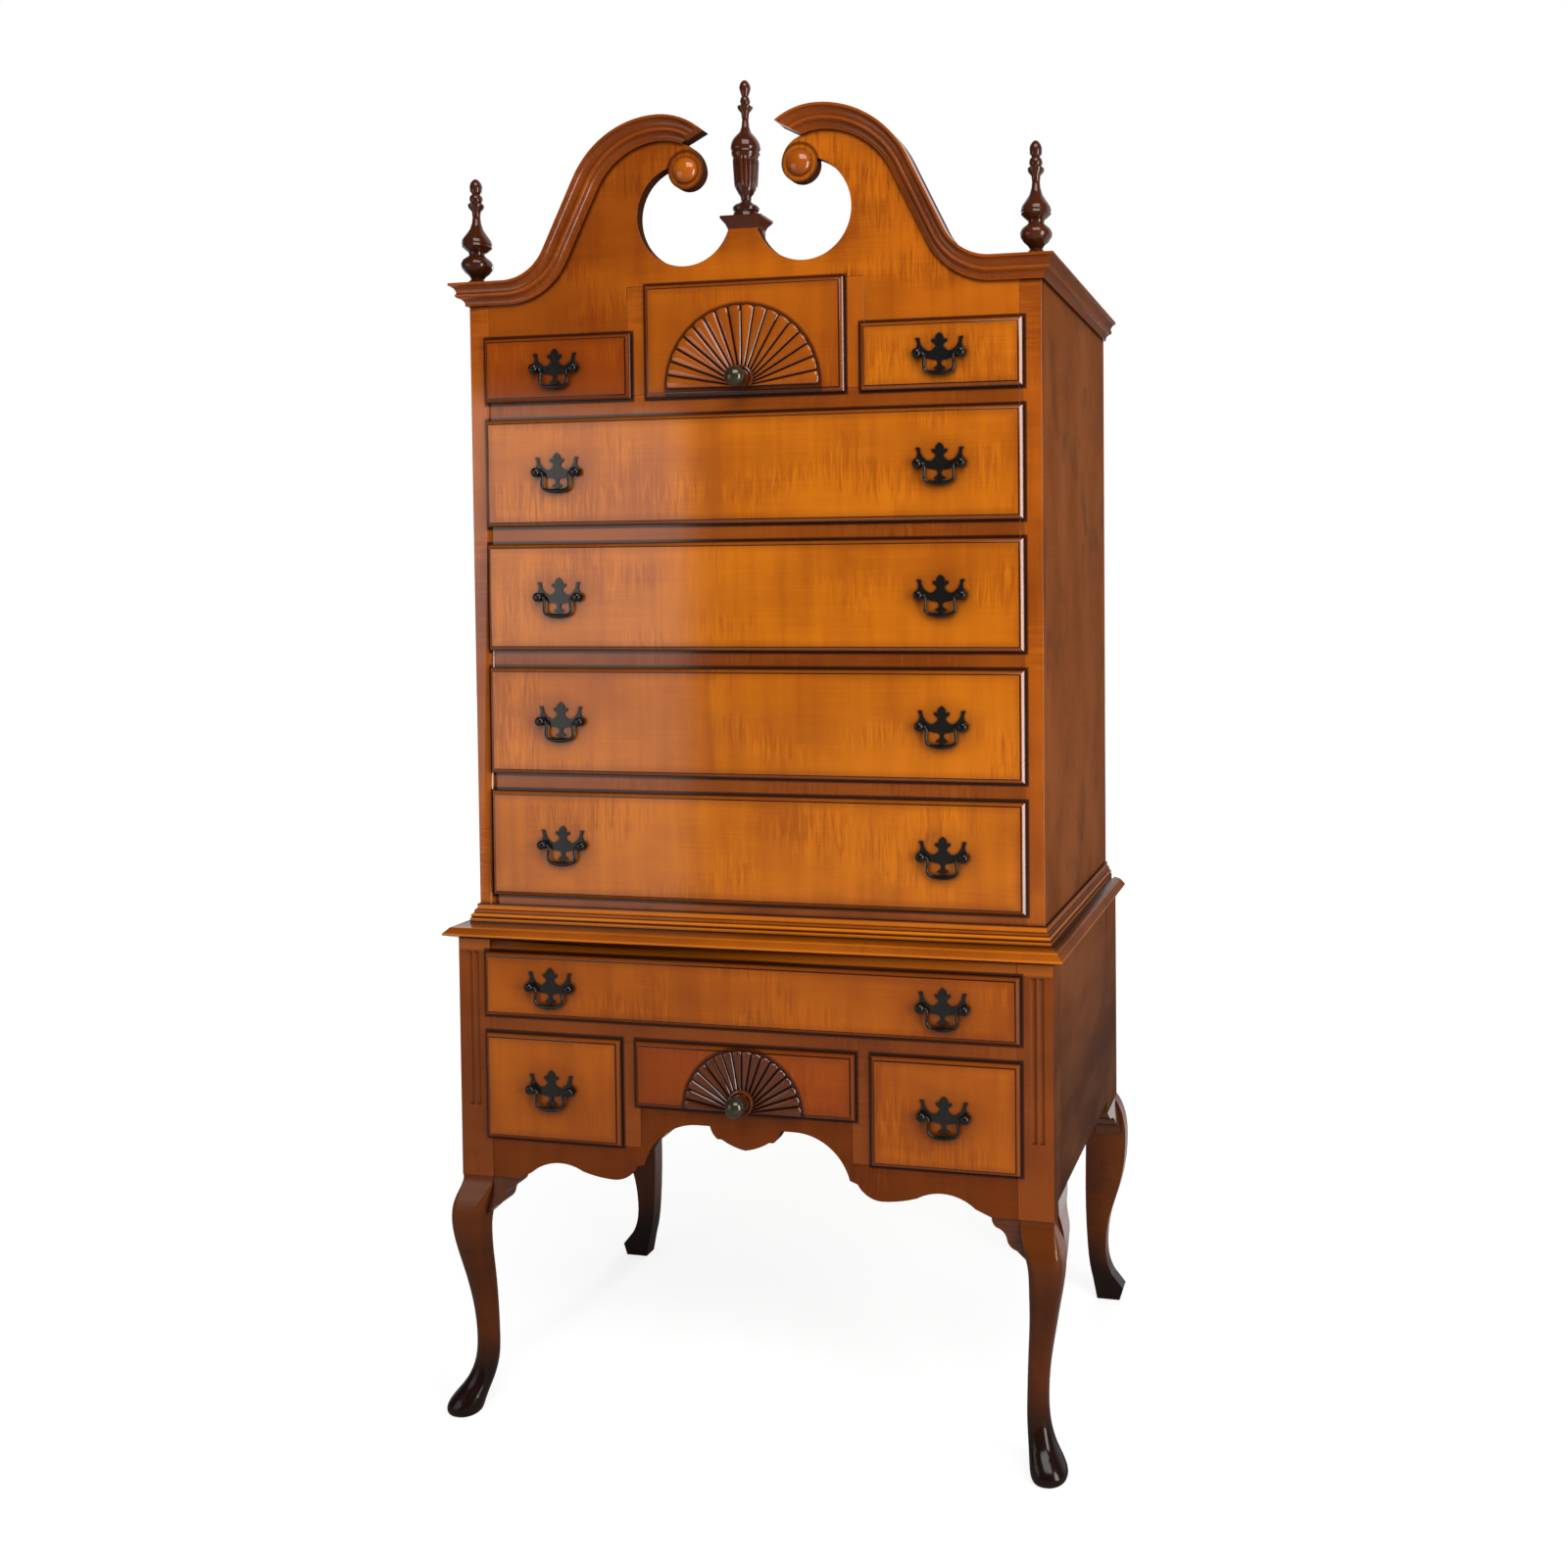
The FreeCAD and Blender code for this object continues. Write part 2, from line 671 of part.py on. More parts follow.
# ================================================================ runners and guides
def drawer_runners():
    """The runners under the drawers' sides and the guides beside them, in both cases."""
    solids = []

    def bar(x0, x1, front, z0, z1):
        """The same bar on both sides, from the face frame to the back panel."""
        for s in (-1, 1):
            solids.append(box(s * x0, s * x1, front, back_panel_front, z0, z1))

    frame_back = upper_front + frame_thickness
    for i in range(long_front_count + 1):
        z = first_long_bottom + i * long_pitch + lip_overlay
        runner_bottom = z - runner_height if i else upper_bottom + board
        bar(upper_inner - runner_width, upper_inner, frame_back, runner_bottom, z)
        bar(upper_opening_half + guide_setback, upper_inner, frame_back, z, z + guide_height)
    wall_inner = middle_half - lip_overlay
    wall_outer = small_inner + lip_overlay
    z = row_bottom + lip_overlay
    bar(wall_inner - runner_width / 2, wall_outer + runner_width / 2, frame_back, z - runner_height, z)
    bar(wall_inner, wall_outer, frame_back, z, z + guide_height)

    frame_back = lower_front + frame_thickness
    post_back = lower_front + post_depth
    wall_inner = lower_middle_half - lip_overlay
    wall_outer = lower_side_inner + lip_overlay
    side_z = lower_row_bottom + lip_overlay
    middle_z = lower_middle_bottom + lip_overlay
    for z in (lower_long_bottom + lip_overlay, side_z):
        bar(lower_side_face - runner_width, lower_side_face, post_back, z - runner_height, z)
    bar(wall_inner + guide_setback, wall_outer + runner_width / 2, frame_back, side_z - runner_height, side_z)
    bar(wall_inner - runner_width / 2, wall_inner, frame_back, middle_z - runner_height, middle_z)
    bar(wall_inner, wall_outer, frame_back, side_z, middle_z + guide_height)
    return Part.makeCompound(solids)


# ================================================================ legs
# shares of the leg's height, then of its block: shift sideways, shift forwards, half size, corner radius
front_leg_sections = [
    (1.000, 0.00, 0.00, 0.500, 0.03),
    (0.957, 0.03, 0.06, 0.505, 0.06),
    (0.910, 0.13, 0.23, 0.530, 0.17),
    (0.837, 0.25, 0.38, 0.510, 0.29),
    (0.735, 0.24, 0.40, 0.460, 0.31),
    (0.640, 0.17, 0.33, 0.400, 0.26),
    (0.545, 0.09, 0.25, 0.360, 0.26),
    (0.450, 0.01, 0.21, 0.327, 0.26),
    (0.287, -0.06, 0.19, 0.308, 0.28),
    (0.180, -0.02, 0.25, 0.337, 0.31),
    (0.110, 0.12, 0.42, 0.404, 0.375),
    (0.060, 0.29, 0.63, 0.500, 0.47),
    (0.027, 0.36, 0.72, 0.520, 0.49),
    (0.000, 0.35, 0.71, 0.433, 0.405),
]
# rear leg in the front plane: (share of the block outwards from the case's side, share of the height)
rear_leg_outside = [
    (0, 1.0), (0.23, 0.945), (0.37, 0.86), (0.39, 0.79), (0.28, 0.635), (0.04, 0.51), (-0.17, 0.418),
    (-0.31, 0.29), (-0.27, 0.186), (-0.08, 0.12),
]
rear_leg_toe = [(-0.08, 0.12), (0.29, 0.057), (0.16, 0), (-0.63, 0), (-0.77, 0.10)]
rear_leg_inside = [(-0.77, 0.10), (-0.88, 0.17), (-0.96, 0.28), (-1.02, 0.48), (-1.01, 0.70), (-1.0, 1.0)]


def rounded_square(cx, cy, z, half, radius):
    """A level square with round corners."""
    flat = half - radius
    diagonal = flat + radius * math.sqrt(0.5)
    edges = []
    for quarter in range(4):
        c = math.cos(quarter * math.pi / 2)
        s = math.sin(quarter * math.pi / 2)
        edges += edges_of([(half, -flat), (half, flat), (diagonal, diagonal, flat, half)],
                          lambda u, v: Vector(cx + u * c - v * s, cy + u * s + v * c, z))
    return Part.Wire(edges)


def front_leg():
    """The right front leg: cabriole, with a square block at its head and a round pad foot."""
    cx = lower_half - leg_block / 2
    cy = lower_front + leg_block / 2
    wires = []
    for height, aside, ahead, half, corner in front_leg_sections:
        wires.append(rounded_square(cx + aside * leg_block, cy - ahead * leg_block, height * leg_height,
                                    half * leg_block, corner * leg_block))
    return Part.makeLoft(wires, True, False)


def rear_leg():
    """The right rear leg, sawn flat from a board: knee, ankle and a pointed foot that turns outwards."""
    def at(out, height):
        return Vector(lower_half + out * leg_block, back_plane - rear_leg_thickness, height * leg_height)

    def curve(points):
        spline = Part.BSplineCurve()
        spline.interpolate([at(*point) for point in points])
        return spline.toShape()

    toe = edges_of(rear_leg_toe, at)
    top = line(at(*rear_leg_inside[-1]), at(*rear_leg_outside[0]))
    wire = Part.Wire([curve(rear_leg_outside)] + toe + [curve(rear_leg_inside), top])
    return extruded(wire, Vector(0, rear_leg_thickness, 0))


def cabriole_legs():
    """Two front and two rear legs."""
    right = [front_leg(), rear_leg()]
    return Part.makeCompound(right + [mirrored(leg) for leg in right])


def knee_outline(reach, drop, tuck):
    """Outline of a knee block: (distance from the leg's block, drop below its top), tucked in to the leg."""
    shape = [
        (-tuck, 0), (1, 0), (0.95, 0.14, 0.84, 0.22), (0.60, 0.30, 0.46, 0.46), (0.34, 0.62, 0.12, 0.70),
        (-tuck, 1),
    ]
    return scaled(shape, reach, drop)


def side_knee_swell():
    """Seen from the front, the side knee blocks swell out from the case's side as the leg's knee does."""
    top = leg_height + side_panel_rise
    bottom = leg_height - knee_block_drop - past
    inner = lower_half - knee_block_thickness
    face = lower_half + side_knee_proud
    entries = [
        (inner, top), (lower_half, top), (lower_half + 0.08 * side_knee_proud, leg_height),
        (lower_half + 0.70 * side_knee_proud, leg_height - 0.45 * knee_block_drop,
         face, leg_height - 0.95 * knee_block_drop),
        (face, bottom), (inner, bottom),
    ]
    return front_solid(entries, lower_front, upper_depth + case_step)


def knee_blocks():
    """Brackets glued beside the legs: two under the apron, four under the lower case's sides."""
    leg = front_leg()
    swell = side_knee_swell()
    inner_face = lower_half - knee_block_thickness
    across = Vector(knee_block_thickness + side_knee_proud, 0, 0)

    def under_apron(out, down):
        return Vector(lower_half - leg_block - out, lower_front + knee_block_setback, leg_height - down)

    def behind_front_leg(out, down):
        return Vector(inner_face, lower_front + post_depth + out, leg_height + side_panel_rise - down)

    def before_rear_leg(out, down):
        return Vector(inner_face, back_plane - rear_leg_thickness - out, leg_height - down)

    front_outline = knee_outline(knee_block_reach, knee_block_drop, knee_tuck)
    side_outline = knee_outline(knee_block_reach, knee_block_drop + side_panel_rise, side_knee_tuck)
    rear_outline = knee_outline(rear_stile_width - rear_leg_thickness, knee_block_drop, 0)
    post = box(lower_opening_half, lower_half, lower_front, lower_front + post_depth, leg_height, top_board_under)
    behind = extruded(outline(side_outline, behind_front_leg), across).common(swell)
    right = [
        extruded(outline(front_outline, under_apron), Vector(0, front_knee_thickness, 0)).cut(leg),
        behind.cut(leg).cut(post),
        extruded(outline(rear_outline, before_rear_leg), across).common(swell),
    ]
    return Part.makeCompound(right + [mirrored(block) for block in right])


# ================================================================ drawers
def drawer_list():
    """Every drawer: the bounds of its lip, its case's front plane, its pulls and its fan."""
    drawers = []

    def two_pulls(lip_half, inset):
        return {"_left": inset - lip_half, "_right": lip_half - inset}

    pulls = two_pulls(upper_lip_half, upper_pull_inset)
    for i in range(long_front_count):
        z0 = first_long_bottom + i * long_pitch
        drawers.append(Drawer("long_%d" % (long_front_count - i), -upper_lip_half, upper_lip_half,
                              z0, z0 + long_front_height, upper_front, pulls, None))
    pulls = two_pulls(lower_lip_half, lower_pull_inset)
    drawers.append(Drawer("lower_long", -lower_lip_half, lower_lip_half,
                          lower_long_bottom, lower_long_top, lower_front, pulls, None))
    for side, word in ((-1, "left"), (1, "right")):
        x0, x1 = sorted((side * small_inner, side * upper_lip_half))
        drawers.append(Drawer("small_" + word, x0, x1, row_bottom, small_row_top, upper_front,
                              {"": (x0 + x1) / 2}, None))
        x0, x1 = sorted((side * lower_side_inner, side * lower_lip_half))
        drawers.append(Drawer("lower_" + word, x0, x1, lower_row_bottom, lower_row_top, lower_front,
                              {"": (x0 + x1) / 2}, None))
    fan = Fan(0, row_bottom + upper_fan_rise, upper_fan_radius, row_bottom + upper_hub_rise)
    drawers.append(Drawer("upper_fan", -middle_half, middle_half,
                          row_bottom, middle_top, upper_front, {}, fan))
    fan = Fan(0, lower_middle_bottom + lower_fan_rise, lower_fan_radius, lower_middle_bottom + lower_hub_rise)
    drawers.append(Drawer("lower_fan", -lower_middle_half, lower_middle_half,
                          lower_middle_bottom, lower_row_top, lower_front, {}, fan))
    return drawers


def drawer_face(drawer):
    """The plane of a drawer front's flat face."""
    return drawer.front - lip_gap - lip_proud


def front_groove(fan, turn, face):
    """The V-shaped groove between two petals, from the hub to the rim."""
    pitch = math.pi / fan_petals
    sections = []
    for reach, depth in ((fan_hub_radius * 0.8, fan_hub_groove), (fan.radius + fan_relief, fan_rim_groove)):
        half = reach * pitch / 2
        x, z = on_circle((fan.x, fan.z), reach, turn)
        across = Vector(-math.sin(turn), 0, math.cos(turn)) * half
        middle = Vector(x, face - fan_relief, z)
        back = Vector(0, depth, 0)
        corners = [middle + back, middle + across * 2 - back, middle - across * 2 - back, middle + back]
        sections.append(Part.makePolygon(corners))
    return Part.makeLoft(sections, True, True)


def carved_fan(fan, face):
    """A half-round fan in relief: pleats round a half-round hub."""
    half_disc = [(fan.x - fan.radius, fan.z), (fan.x, fan.z + fan.radius, fan.x + fan.radius, fan.z)]
    carving = front_solid(half_disc, face - fan_relief, fan_relief + lip_proud / 2)
    for i in range(1, fan_petals):
        carving = carving.cut(front_groove(fan, math.pi * i / fan_petals, face))
    hub = rod(fan_hub_radius, Vector(fan.x, face - fan_hub_relief, fan.hub_z),
              Vector(0, fan_hub_relief + lip_proud / 2, 0))
    above = box(fan.x - fan.radius, fan.x + fan.radius, face - past, face + past, fan.z, fan.z + fan.radius)
    return carving.fuse(hub.common(above))


def drawer_front(drawer, holes):
    """A front with a rounded lip all round; holes are (x, z, radius)."""
    face = drawer_face(drawer)
    lip_back = drawer.front - lip_gap
    lip = box(drawer.x0, drawer.x1, face, lip_back, drawer.z0, drawer.z1)
    rim = [edge for edge in lip.Edges if abs(edge.CenterOfMass.y - face) < lip_gap]
    lip = lip.makeFillet(lip_rounding, rim)
    inset = lip_overlay + front_clearance
    inside = box(drawer.x0 + inset, drawer.x1 - inset, face + lip_rounding, drawer.front + front_inside,
                 drawer.z0 + inset, drawer.z1 - inset)
    wood = lip.fuse(inside).removeSplitter()
    if drawer.fan:
        wood = wood.fuse(carved_fan(drawer.fan, face)).removeSplitter()
    for x, z, radius in holes:
        wood = wood.cut(rod(radius, Vector(x, face - past, z), Vector(0, 2 * past, 0)))
    return wood


def drawer_box(drawer):
    """Two sides, a floor and a low back behind the front."""
    x0 = drawer.x0 + lip_overlay + box_side_clearance
    x1 = drawer.x1 - lip_overlay - box_side_clearance
    low = drawer.z0 + lip_overlay + runner_gap
    high = drawer.z1 - lip_overlay - box_top_clearance
    y0 = drawer.front + front_inside
    y1 = back_panel_front - box_end_clearance
    inner0 = x0 + drawer_side
    inner1 = x1 - drawer_side
    floor_low = low + floor_groove_up
    floor_top = floor_low + drawer_floor
    return Part.makeCompound([
        box(x0, inner0, y0, y1, low, high),
        box(inner1, x1, y0, y1, low, high),
        box(inner0, inner1, y0, y1, floor_low, floor_top),
        box(inner0, inner1, y1 - drawer_side, y1, floor_top, high - box_back_drop),
    ])


# ================================================================ pulls and knobs
# right half of a bat-wing plate, (x, z) from the top tip round to the bottom one
plate_half = [
    (0, 28.0), (4.5, 24.5), (6.5, 20.5), (4.5, 17.5), (11.0, 19.0), (12.0, 15.5), (6.5, 12.0), (5.5, 8.0),
    (9.0, 4.5), (13.5, 1.6, 18.5, 2.0), (26.0, 8.0, 30.0, 21.0), (36.5, 21.0), (33.5, 12.0, 41.0, 0.5),
    (36.0, -5.5), (27.5, -4.5), (20.0, -8.0), (11.5, -10.5), (4.5, -11.5), (2.5, -15.0), (2.8, -19.0),
    (9.0, -23.5), (4.5, -25.0), (0, -27.0),
]
# a post's round head, (share of its radius, share of its depth)
boss_shape = [(1, 0), (1, 0.7), (0.76, 0.92, 0.06, 1.0)]


def nut(x, z, drawer, shank):
    """A round nut on the end of a shank, inside the drawer."""
    spot = Vector(x, drawer.front + front_inside, z)
    return rod(nut_radius, spot, Vector(0, nut_thickness, 0)).cut(shank)


def shank(x, z, drawer, radius, start):
    """A straight shank through the front, from the plane start to the far face of its nut."""
    end = drawer.front + front_inside + nut_thickness
    return rod(radius, Vector(x, end, z), Vector(0, start - end, 0))


def pull_fixed(x, z, drawer):
    """One pull's plate, two round-headed posts and their nuts."""
    face = drawer_face(drawer)
    left = [tuple(-value if i % 2 == 0 else value for i, value in enumerate(entry)) for entry in plate_half]
    back_up = [left[i][:-2] + left[i - 1][-2:] for i in range(len(left) - 1, 1, -1)]
    plate = extruded(outline(plate_half + back_up, lambda u, v: Vector(x + u, face, z + plate_offset + v)),
                     Vector(0, -plate_thickness, 0))
    solids = []
    for s in (-1, 1):
        post_x = x + s * post_spacing / 2
        post_shank = shank(post_x, z, drawer, shank_radius, face - plate_thickness)
        plate = plate.cut(post_shank)
        boss = facing_front(turned(scaled(boss_shape, boss_radius, boss_depth), Vector(0, 0, 0)),
                            Vector(post_x, face - plate_thickness, z))
        socket_end = x + s * (bail_pin_reach + bail_end_clearance)
        socket_start = Vector(x + s * bail_half_width, face - bail_axis_out, z)
        socket = rod(bail_radius + bail_clearance, socket_start, Vector(socket_end - socket_start.x, 0, 0))
        solids += [boss.fuse(post_shank).removeSplitter().cut(socket), nut(post_x, z, drawer, post_shank)]
    return [plate] + solids


def bail(x, z, drawer):
    """A U-shaped handle of round wire whose ends turn outwards into the posts."""
    y = drawer_face(drawer) - bail_axis_out
    w = bail_half_width
    bend = bail_bend
    low = -bail_drop
    c = bail_corner
    quarter = 1 - math.sqrt(0.5)
    right = [
        (0, low), (w - c, low), (w - quarter * c, low + quarter * c, w, low + c), (w, -bend),
        (w + quarter * bend, -quarter * bend, w + bend, 0), (bail_pin_reach, 0),
    ]
    left = [tuple(-value if i % 2 == 0 else value for i, value in enumerate(entry)) for entry in right]
    up_left = [left[-1]] + [left[i][:-2] + left[i - 1][-2:] for i in range(len(left) - 1, 0, -1)]
    path = Part.Wire(edges_of(up_left + right[1:], lambda u, v: Vector(x + u, y, z + v)))
    ring = Part.Circle(Vector(x - bail_pin_reach, y, z), Vector(1, 0, 0), bail_radius).toShape()
    return path.makePipeShell([Part.Wire(ring)], True, False)


def knob(drawer):
    """A round knob on a fan's hub: neck and ball with a shank through the front, and a nut inside."""
    fan = drawer.fan
    face = drawer_face(drawer)
    ball = knob_projection - knob_radius
    neck = ball - math.sqrt(knob_radius ** 2 - knob_neck_radius ** 2)
    shape = [
        (knob_neck_radius, fan_hub_relief), (knob_neck_radius, fan_hub_relief + knob_collar),
        (knob_neck_radius - knob_collar / 2, neck), (knob_neck_radius, neck),
        (knob_radius, ball, 0, knob_projection),
    ]
    handle = facing_front(turned(shape, Vector(0, 0, 0)), Vector(fan.x, face, fan.hub_z))
    through = shank(fan.x, fan.hub_z, drawer, knob_shank_radius, face - fan_hub_relief)
    return Part.makeCompound([handle.fuse(through).removeSplitter(), nut(fan.x, fan.hub_z, drawer, through)])


def drawer_nodes(drawer):
    """The sub-parts of one drawer, as name and shape."""
    nodes = {}
    holes = []
    hardware = []
    z = (drawer.z0 + drawer.z1) / 2
    for word, x in drawer.pulls.items():
        holes += [(x + s * post_spacing / 2, z, shank_radius + shank_clearance) for s in (-1, 1)]
        hardware += pull_fixed(x, z, drawer)
        nodes[drawer.name + "_bail" + word] = bail(x, z, drawer)
    if drawer.fan:
        holes.append((drawer.fan.x, drawer.fan.hub_z, knob_shank_radius + shank_clearance))
        nodes[drawer.name + "_knob"] = knob(drawer)
    if hardware:
        nodes[drawer.name + "_pulls"] = Part.makeCompound(hardware)
    nodes[drawer.name + "_front"] = drawer_front(drawer, holes)
    nodes[drawer.name + "_box"] = drawer_box(drawer)
    return nodes


# ================================================================ all sub-parts
def case_nodes():
    """The sub-parts of the two cases, by node name."""
    makers = [
        upper_case_boards, upper_face_frame, pediment_board, cornice_moulding, finials_and_rosettes,
        waist_moulding, lower_case_boards, lower_face_frame, scrolled_apron, back_panels, drawer_runners,
        cabriole_legs, knee_blocks,
    ]
    return {make.__name__: make() for make in makers}


def all_nodes():
    """Every sub-part by its node's name."""
    nodes = case_nodes()
    for drawer in drawer_list():
        nodes.update(drawer_nodes(drawer))
    return nodes


os.makedirs("parts", exist_ok=True)
for node_name, shape in all_nodes().items():
    shape.exportStep("parts/" + node_name + ".step")
    if not shape.isValid():
        print("not valid:", node_name)
print("height", pedestal_top + plinth_cap + finial_height, "depth", total_depth)
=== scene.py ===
import math
import random

import bmesh
import bpy
from mathutils import Matrix, Vector


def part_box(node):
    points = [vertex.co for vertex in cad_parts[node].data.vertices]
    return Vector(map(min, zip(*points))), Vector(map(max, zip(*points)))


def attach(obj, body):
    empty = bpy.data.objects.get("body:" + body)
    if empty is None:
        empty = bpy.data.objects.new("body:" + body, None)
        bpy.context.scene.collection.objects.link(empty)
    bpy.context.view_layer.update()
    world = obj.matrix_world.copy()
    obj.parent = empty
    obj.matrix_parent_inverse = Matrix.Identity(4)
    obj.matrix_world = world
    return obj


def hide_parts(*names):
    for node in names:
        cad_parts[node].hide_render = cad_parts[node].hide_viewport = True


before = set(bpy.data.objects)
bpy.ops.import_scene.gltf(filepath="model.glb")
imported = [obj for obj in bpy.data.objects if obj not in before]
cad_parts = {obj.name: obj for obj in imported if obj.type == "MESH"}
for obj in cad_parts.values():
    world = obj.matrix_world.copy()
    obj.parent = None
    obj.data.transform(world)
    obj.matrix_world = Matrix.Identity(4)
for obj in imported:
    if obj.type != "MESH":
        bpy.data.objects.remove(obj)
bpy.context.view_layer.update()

scene = bpy.context.scene
scene.view_settings.view_transform = "Standard"


# ---------------------------------------------------------------- camera
# The camera stands a little to the right of the highboy at chest height, nearly level.
camera_data = bpy.data.cameras.new("camera")
camera_data.sensor_width = 36
camera_data.lens = 31.58
camera_data.shift_x = -0.19375
camera_data.shift_y = -0.09375
camera = bpy.data.objects.new("camera", camera_data)
scene.collection.objects.link(camera)
eye = Matrix.Translation((0.8965, -2.1493, 1.2687))
pan, tilt, roll = 0.19078, math.pi / 2 - 0.029395, -0.0050144
camera.matrix_world = (eye @ Matrix.Rotation(pan, 4, "Z") @ Matrix.Rotation(tilt, 4, "X")
                       @ Matrix.Rotation(roll, 4, "Z"))
scene.camera = camera


# ---------------------------------------------------------------- room, lamps and floor
# A pale studio with a white backdrop behind the piece and a dim room on the camera's side. Soft panels at the
# left fade downwards, and there is a window-like lamp at the right, a large one overhead and one behind. The
# floor is plain and pale.
def node(tree, kind, inputs=None, **settings):
    """Adds one node; inputs are values or the sockets that feed them."""
    made = tree.nodes.new(kind)
    for key, value in settings.items():
        setattr(made, key, value)
    for key, value in (inputs or {}).items():
        if isinstance(value, bpy.types.NodeSocket):
            tree.links.new(value, made.inputs[key])
        else:
            made.inputs[key].default_value = value
    return made


def maths(tree, operation, a, b=0.0, clamp=False):
    """The result of one sum on two values."""
    return node(tree, "ShaderNodeMath", {0: a, 1: b}, operation=operation, use_clamp=clamp).outputs[0]


def times(tree, *values):
    """The product of two or more values."""
    product = values[0]
    for value in values[1:]:
        product = maths(tree, "MULTIPLY", product, value)
    return product


def plus(tree, a, b, clamp=False):
    """The sum of two values."""
    return maths(tree, "ADD", a, b, clamp)


def minus(tree, a, b, clamp=False):
    """What is left of a value after another is taken from it."""
    return maths(tree, "SUBTRACT", a, b, clamp)


def between(tree, share, low, high):
    """A colour from low to high by share."""
    return node(tree, "ShaderNodeMix", {0: share, 6: low, 7: high}, data_type="RGBA").outputs[2]


def ranged(tree, value, low, high, to_low=0.0, to_high=1.0):
    """A value's place between low and high, moved smoothly to another range."""
    return node(tree, "ShaderNodeMapRange", {0: value, 1: low, 2: high, 3: to_low, 4: to_high},
                interpolation_type="SMOOTHSTEP").outputs[0]


def shown_white(tree, spot, near, far):
    """How white a surface looks: wholly to the camera, and to mirrored rays only where it lies at the back.
    Also gives which rays are mirrored."""
    at_back = ranged(tree, node(tree, "ShaderNodeSeparateXYZ", {0: spot}).outputs["Y"], near, far)
    rays = node(tree, "ShaderNodeLightPath").outputs
    mirrored = plus(tree, rays["Is Glossy Ray"], rays["Is Transmission Ray"], clamp=True)
    return plus(tree, rays["Is Camera Ray"], times(tree, mirrored, at_back), clamp=True), mirrored


room = bpy.data.worlds.new("studio")
room.use_nodes = True
scene.world = room
air = room.node_tree
air.nodes.clear()
white, mirrored = shown_white(air, node(air, "ShaderNodeTexCoord").outputs["Generated"], 0.1, 0.6)
dim_room = between(air, mirrored, (0.36, 0.36, 0.36, 1), (0.04, 0.04, 0.045, 1))
backdrop = between(air, white, dim_room, (1, 1, 1, 1))
node(air, "ShaderNodeOutputWorld", {0: node(air, "ShaderNodeBackground", {0: backdrop, 1: 1.0}).outputs[0]})


def soft_lamp(name, place, aim, width, height, glow):
    """A rectangular soft lamp; glow is how bright its face looks."""
    lamp = bpy.data.lights.new(name, "AREA")
    lamp.shape = "RECTANGLE"
    lamp.size = width
    lamp.size_y = height
    lamp.energy = glow * width * height * math.pi
    holder = bpy.data.objects.new(name, lamp)
    scene.collection.objects.link(holder)
    away = Vector(place) - Vector(aim)
    holder.matrix_world = Matrix.Translation(place) @ away.to_track_quat("Z", "Y").to_matrix().to_4x4()


for name, middle, tall, glow in (("left_high", 1.50, 0.86, 1.25), ("left_middle", 0.85, 0.44, 0.85),
                                 ("left_low", 0.39, 0.48, 0.5)):
    soft_lamp(name, (-2.05, -2.25, middle), (0, -0.2, middle), 1.7, tall, glow)
soft_lamp("right_window", (2.65, -1.55, 1.30), (0.2, -0.25, 1.2), 0.85, 2.3, 9.0)
soft_lamp("overhead", (1.1, -2.8, 4.2), (0, 0, 1.1), 3.0, 2.0, 4.6)
soft_lamp("behind", (0, 4.0, 1.7), (0, 0.3, 1.1), 0.9, 2.2, 9.0)

floor_finish = bpy.data.materials.new("pale_floor")
floor_finish.use_nodes = True
ground = floor_finish.node_tree
ground.nodes.clear()
lit = node(ground, "ShaderNodeBsdfDiffuse", {0: (0.34, 0.34, 0.34, 1)}).outputs[0]
spot = node(ground, "ShaderNodeTexCoord").outputs["Object"]
white = shown_white(ground, spot, 0.3, 0.8)[0]
away = node(ground, "ShaderNodeVectorMath", {0: spot}, operation="LENGTH").outputs["Value"]
fill = ranged(ground, away, 0.8, 3.4, 0.78, 1.0)
glow = node(ground, "ShaderNodeEmission", {0: (1, 1, 1, 1), 1: times(ground, white, fill)})
both = node(ground, "ShaderNodeAddShader", {0: lit, 1: glow.outputs[0]}).outputs[0]
node(ground, "ShaderNodeOutputMaterial", {0: both})
floor_mesh = bpy.data.meshes.new("floor")
half = 14.0
floor_mesh.from_pydata([(-half, -half, 0), (half, -half, 0), (half, half, 0), (-half, half, 0)], [],
                       [(0, 1, 2, 3)])
floor_mesh.materials.append(floor_finish)
floor = bpy.data.objects.new("floor", floor_mesh)
scene.collection.objects.link(floor)


# ---------------------------------------------------------------- legs and knee blocks
# Two cabriole front legs with pad feet and two flat-sawn rear legs, all stained dark maple, with brackets
# glued beside their knees. Hands and shoes have worn the knees paler and left the feet nearly black.
def lay_grain(shape, seed):
    """Stores for each board where its corners lie along and across the grain, from its own random start."""
    grain = shape.loops.layers.float_vector.new("grain")
    chance = random.Random(seed)
    for face in shape.faces:
        face.tag = False
    for first in shape.faces:
        if first.tag:
            continue
        first.tag = True
        board = [first]
        for face in board:
            for edge in face.edges:
                if len(edge.link_faces) == 2:
                    for other in edge.link_faces:
                        if not other.tag:
                            other.tag = True
                            board.append(other)
        places = [vert.co for face in board for vert in face.verts]
        size = [max(p[i] for p in places) - min(p[i] for p in places) for i in range(3)]
        order = sorted(range(3), key=lambda i: -size[i])
        start = [chance.uniform(0, 20) for i in range(3)]
        for face in board:
            for corner in face.loops:
                corner[grain] = [corner.vert.co[order[i]] + start[i] for i in range(3)]


def smooth_joinery(piece, sharp):
    """Smooth shading up to an angle, with the flats kept flat."""
    mesh = piece.data
    mesh.polygons.foreach_set("use_smooth", [True] * len(mesh.polygons))
    mesh.set_sharp_from_angle(angle=math.radians(sharp))
    piece.modifiers.new("even", "WEIGHTED_NORMAL").keep_sharp = True


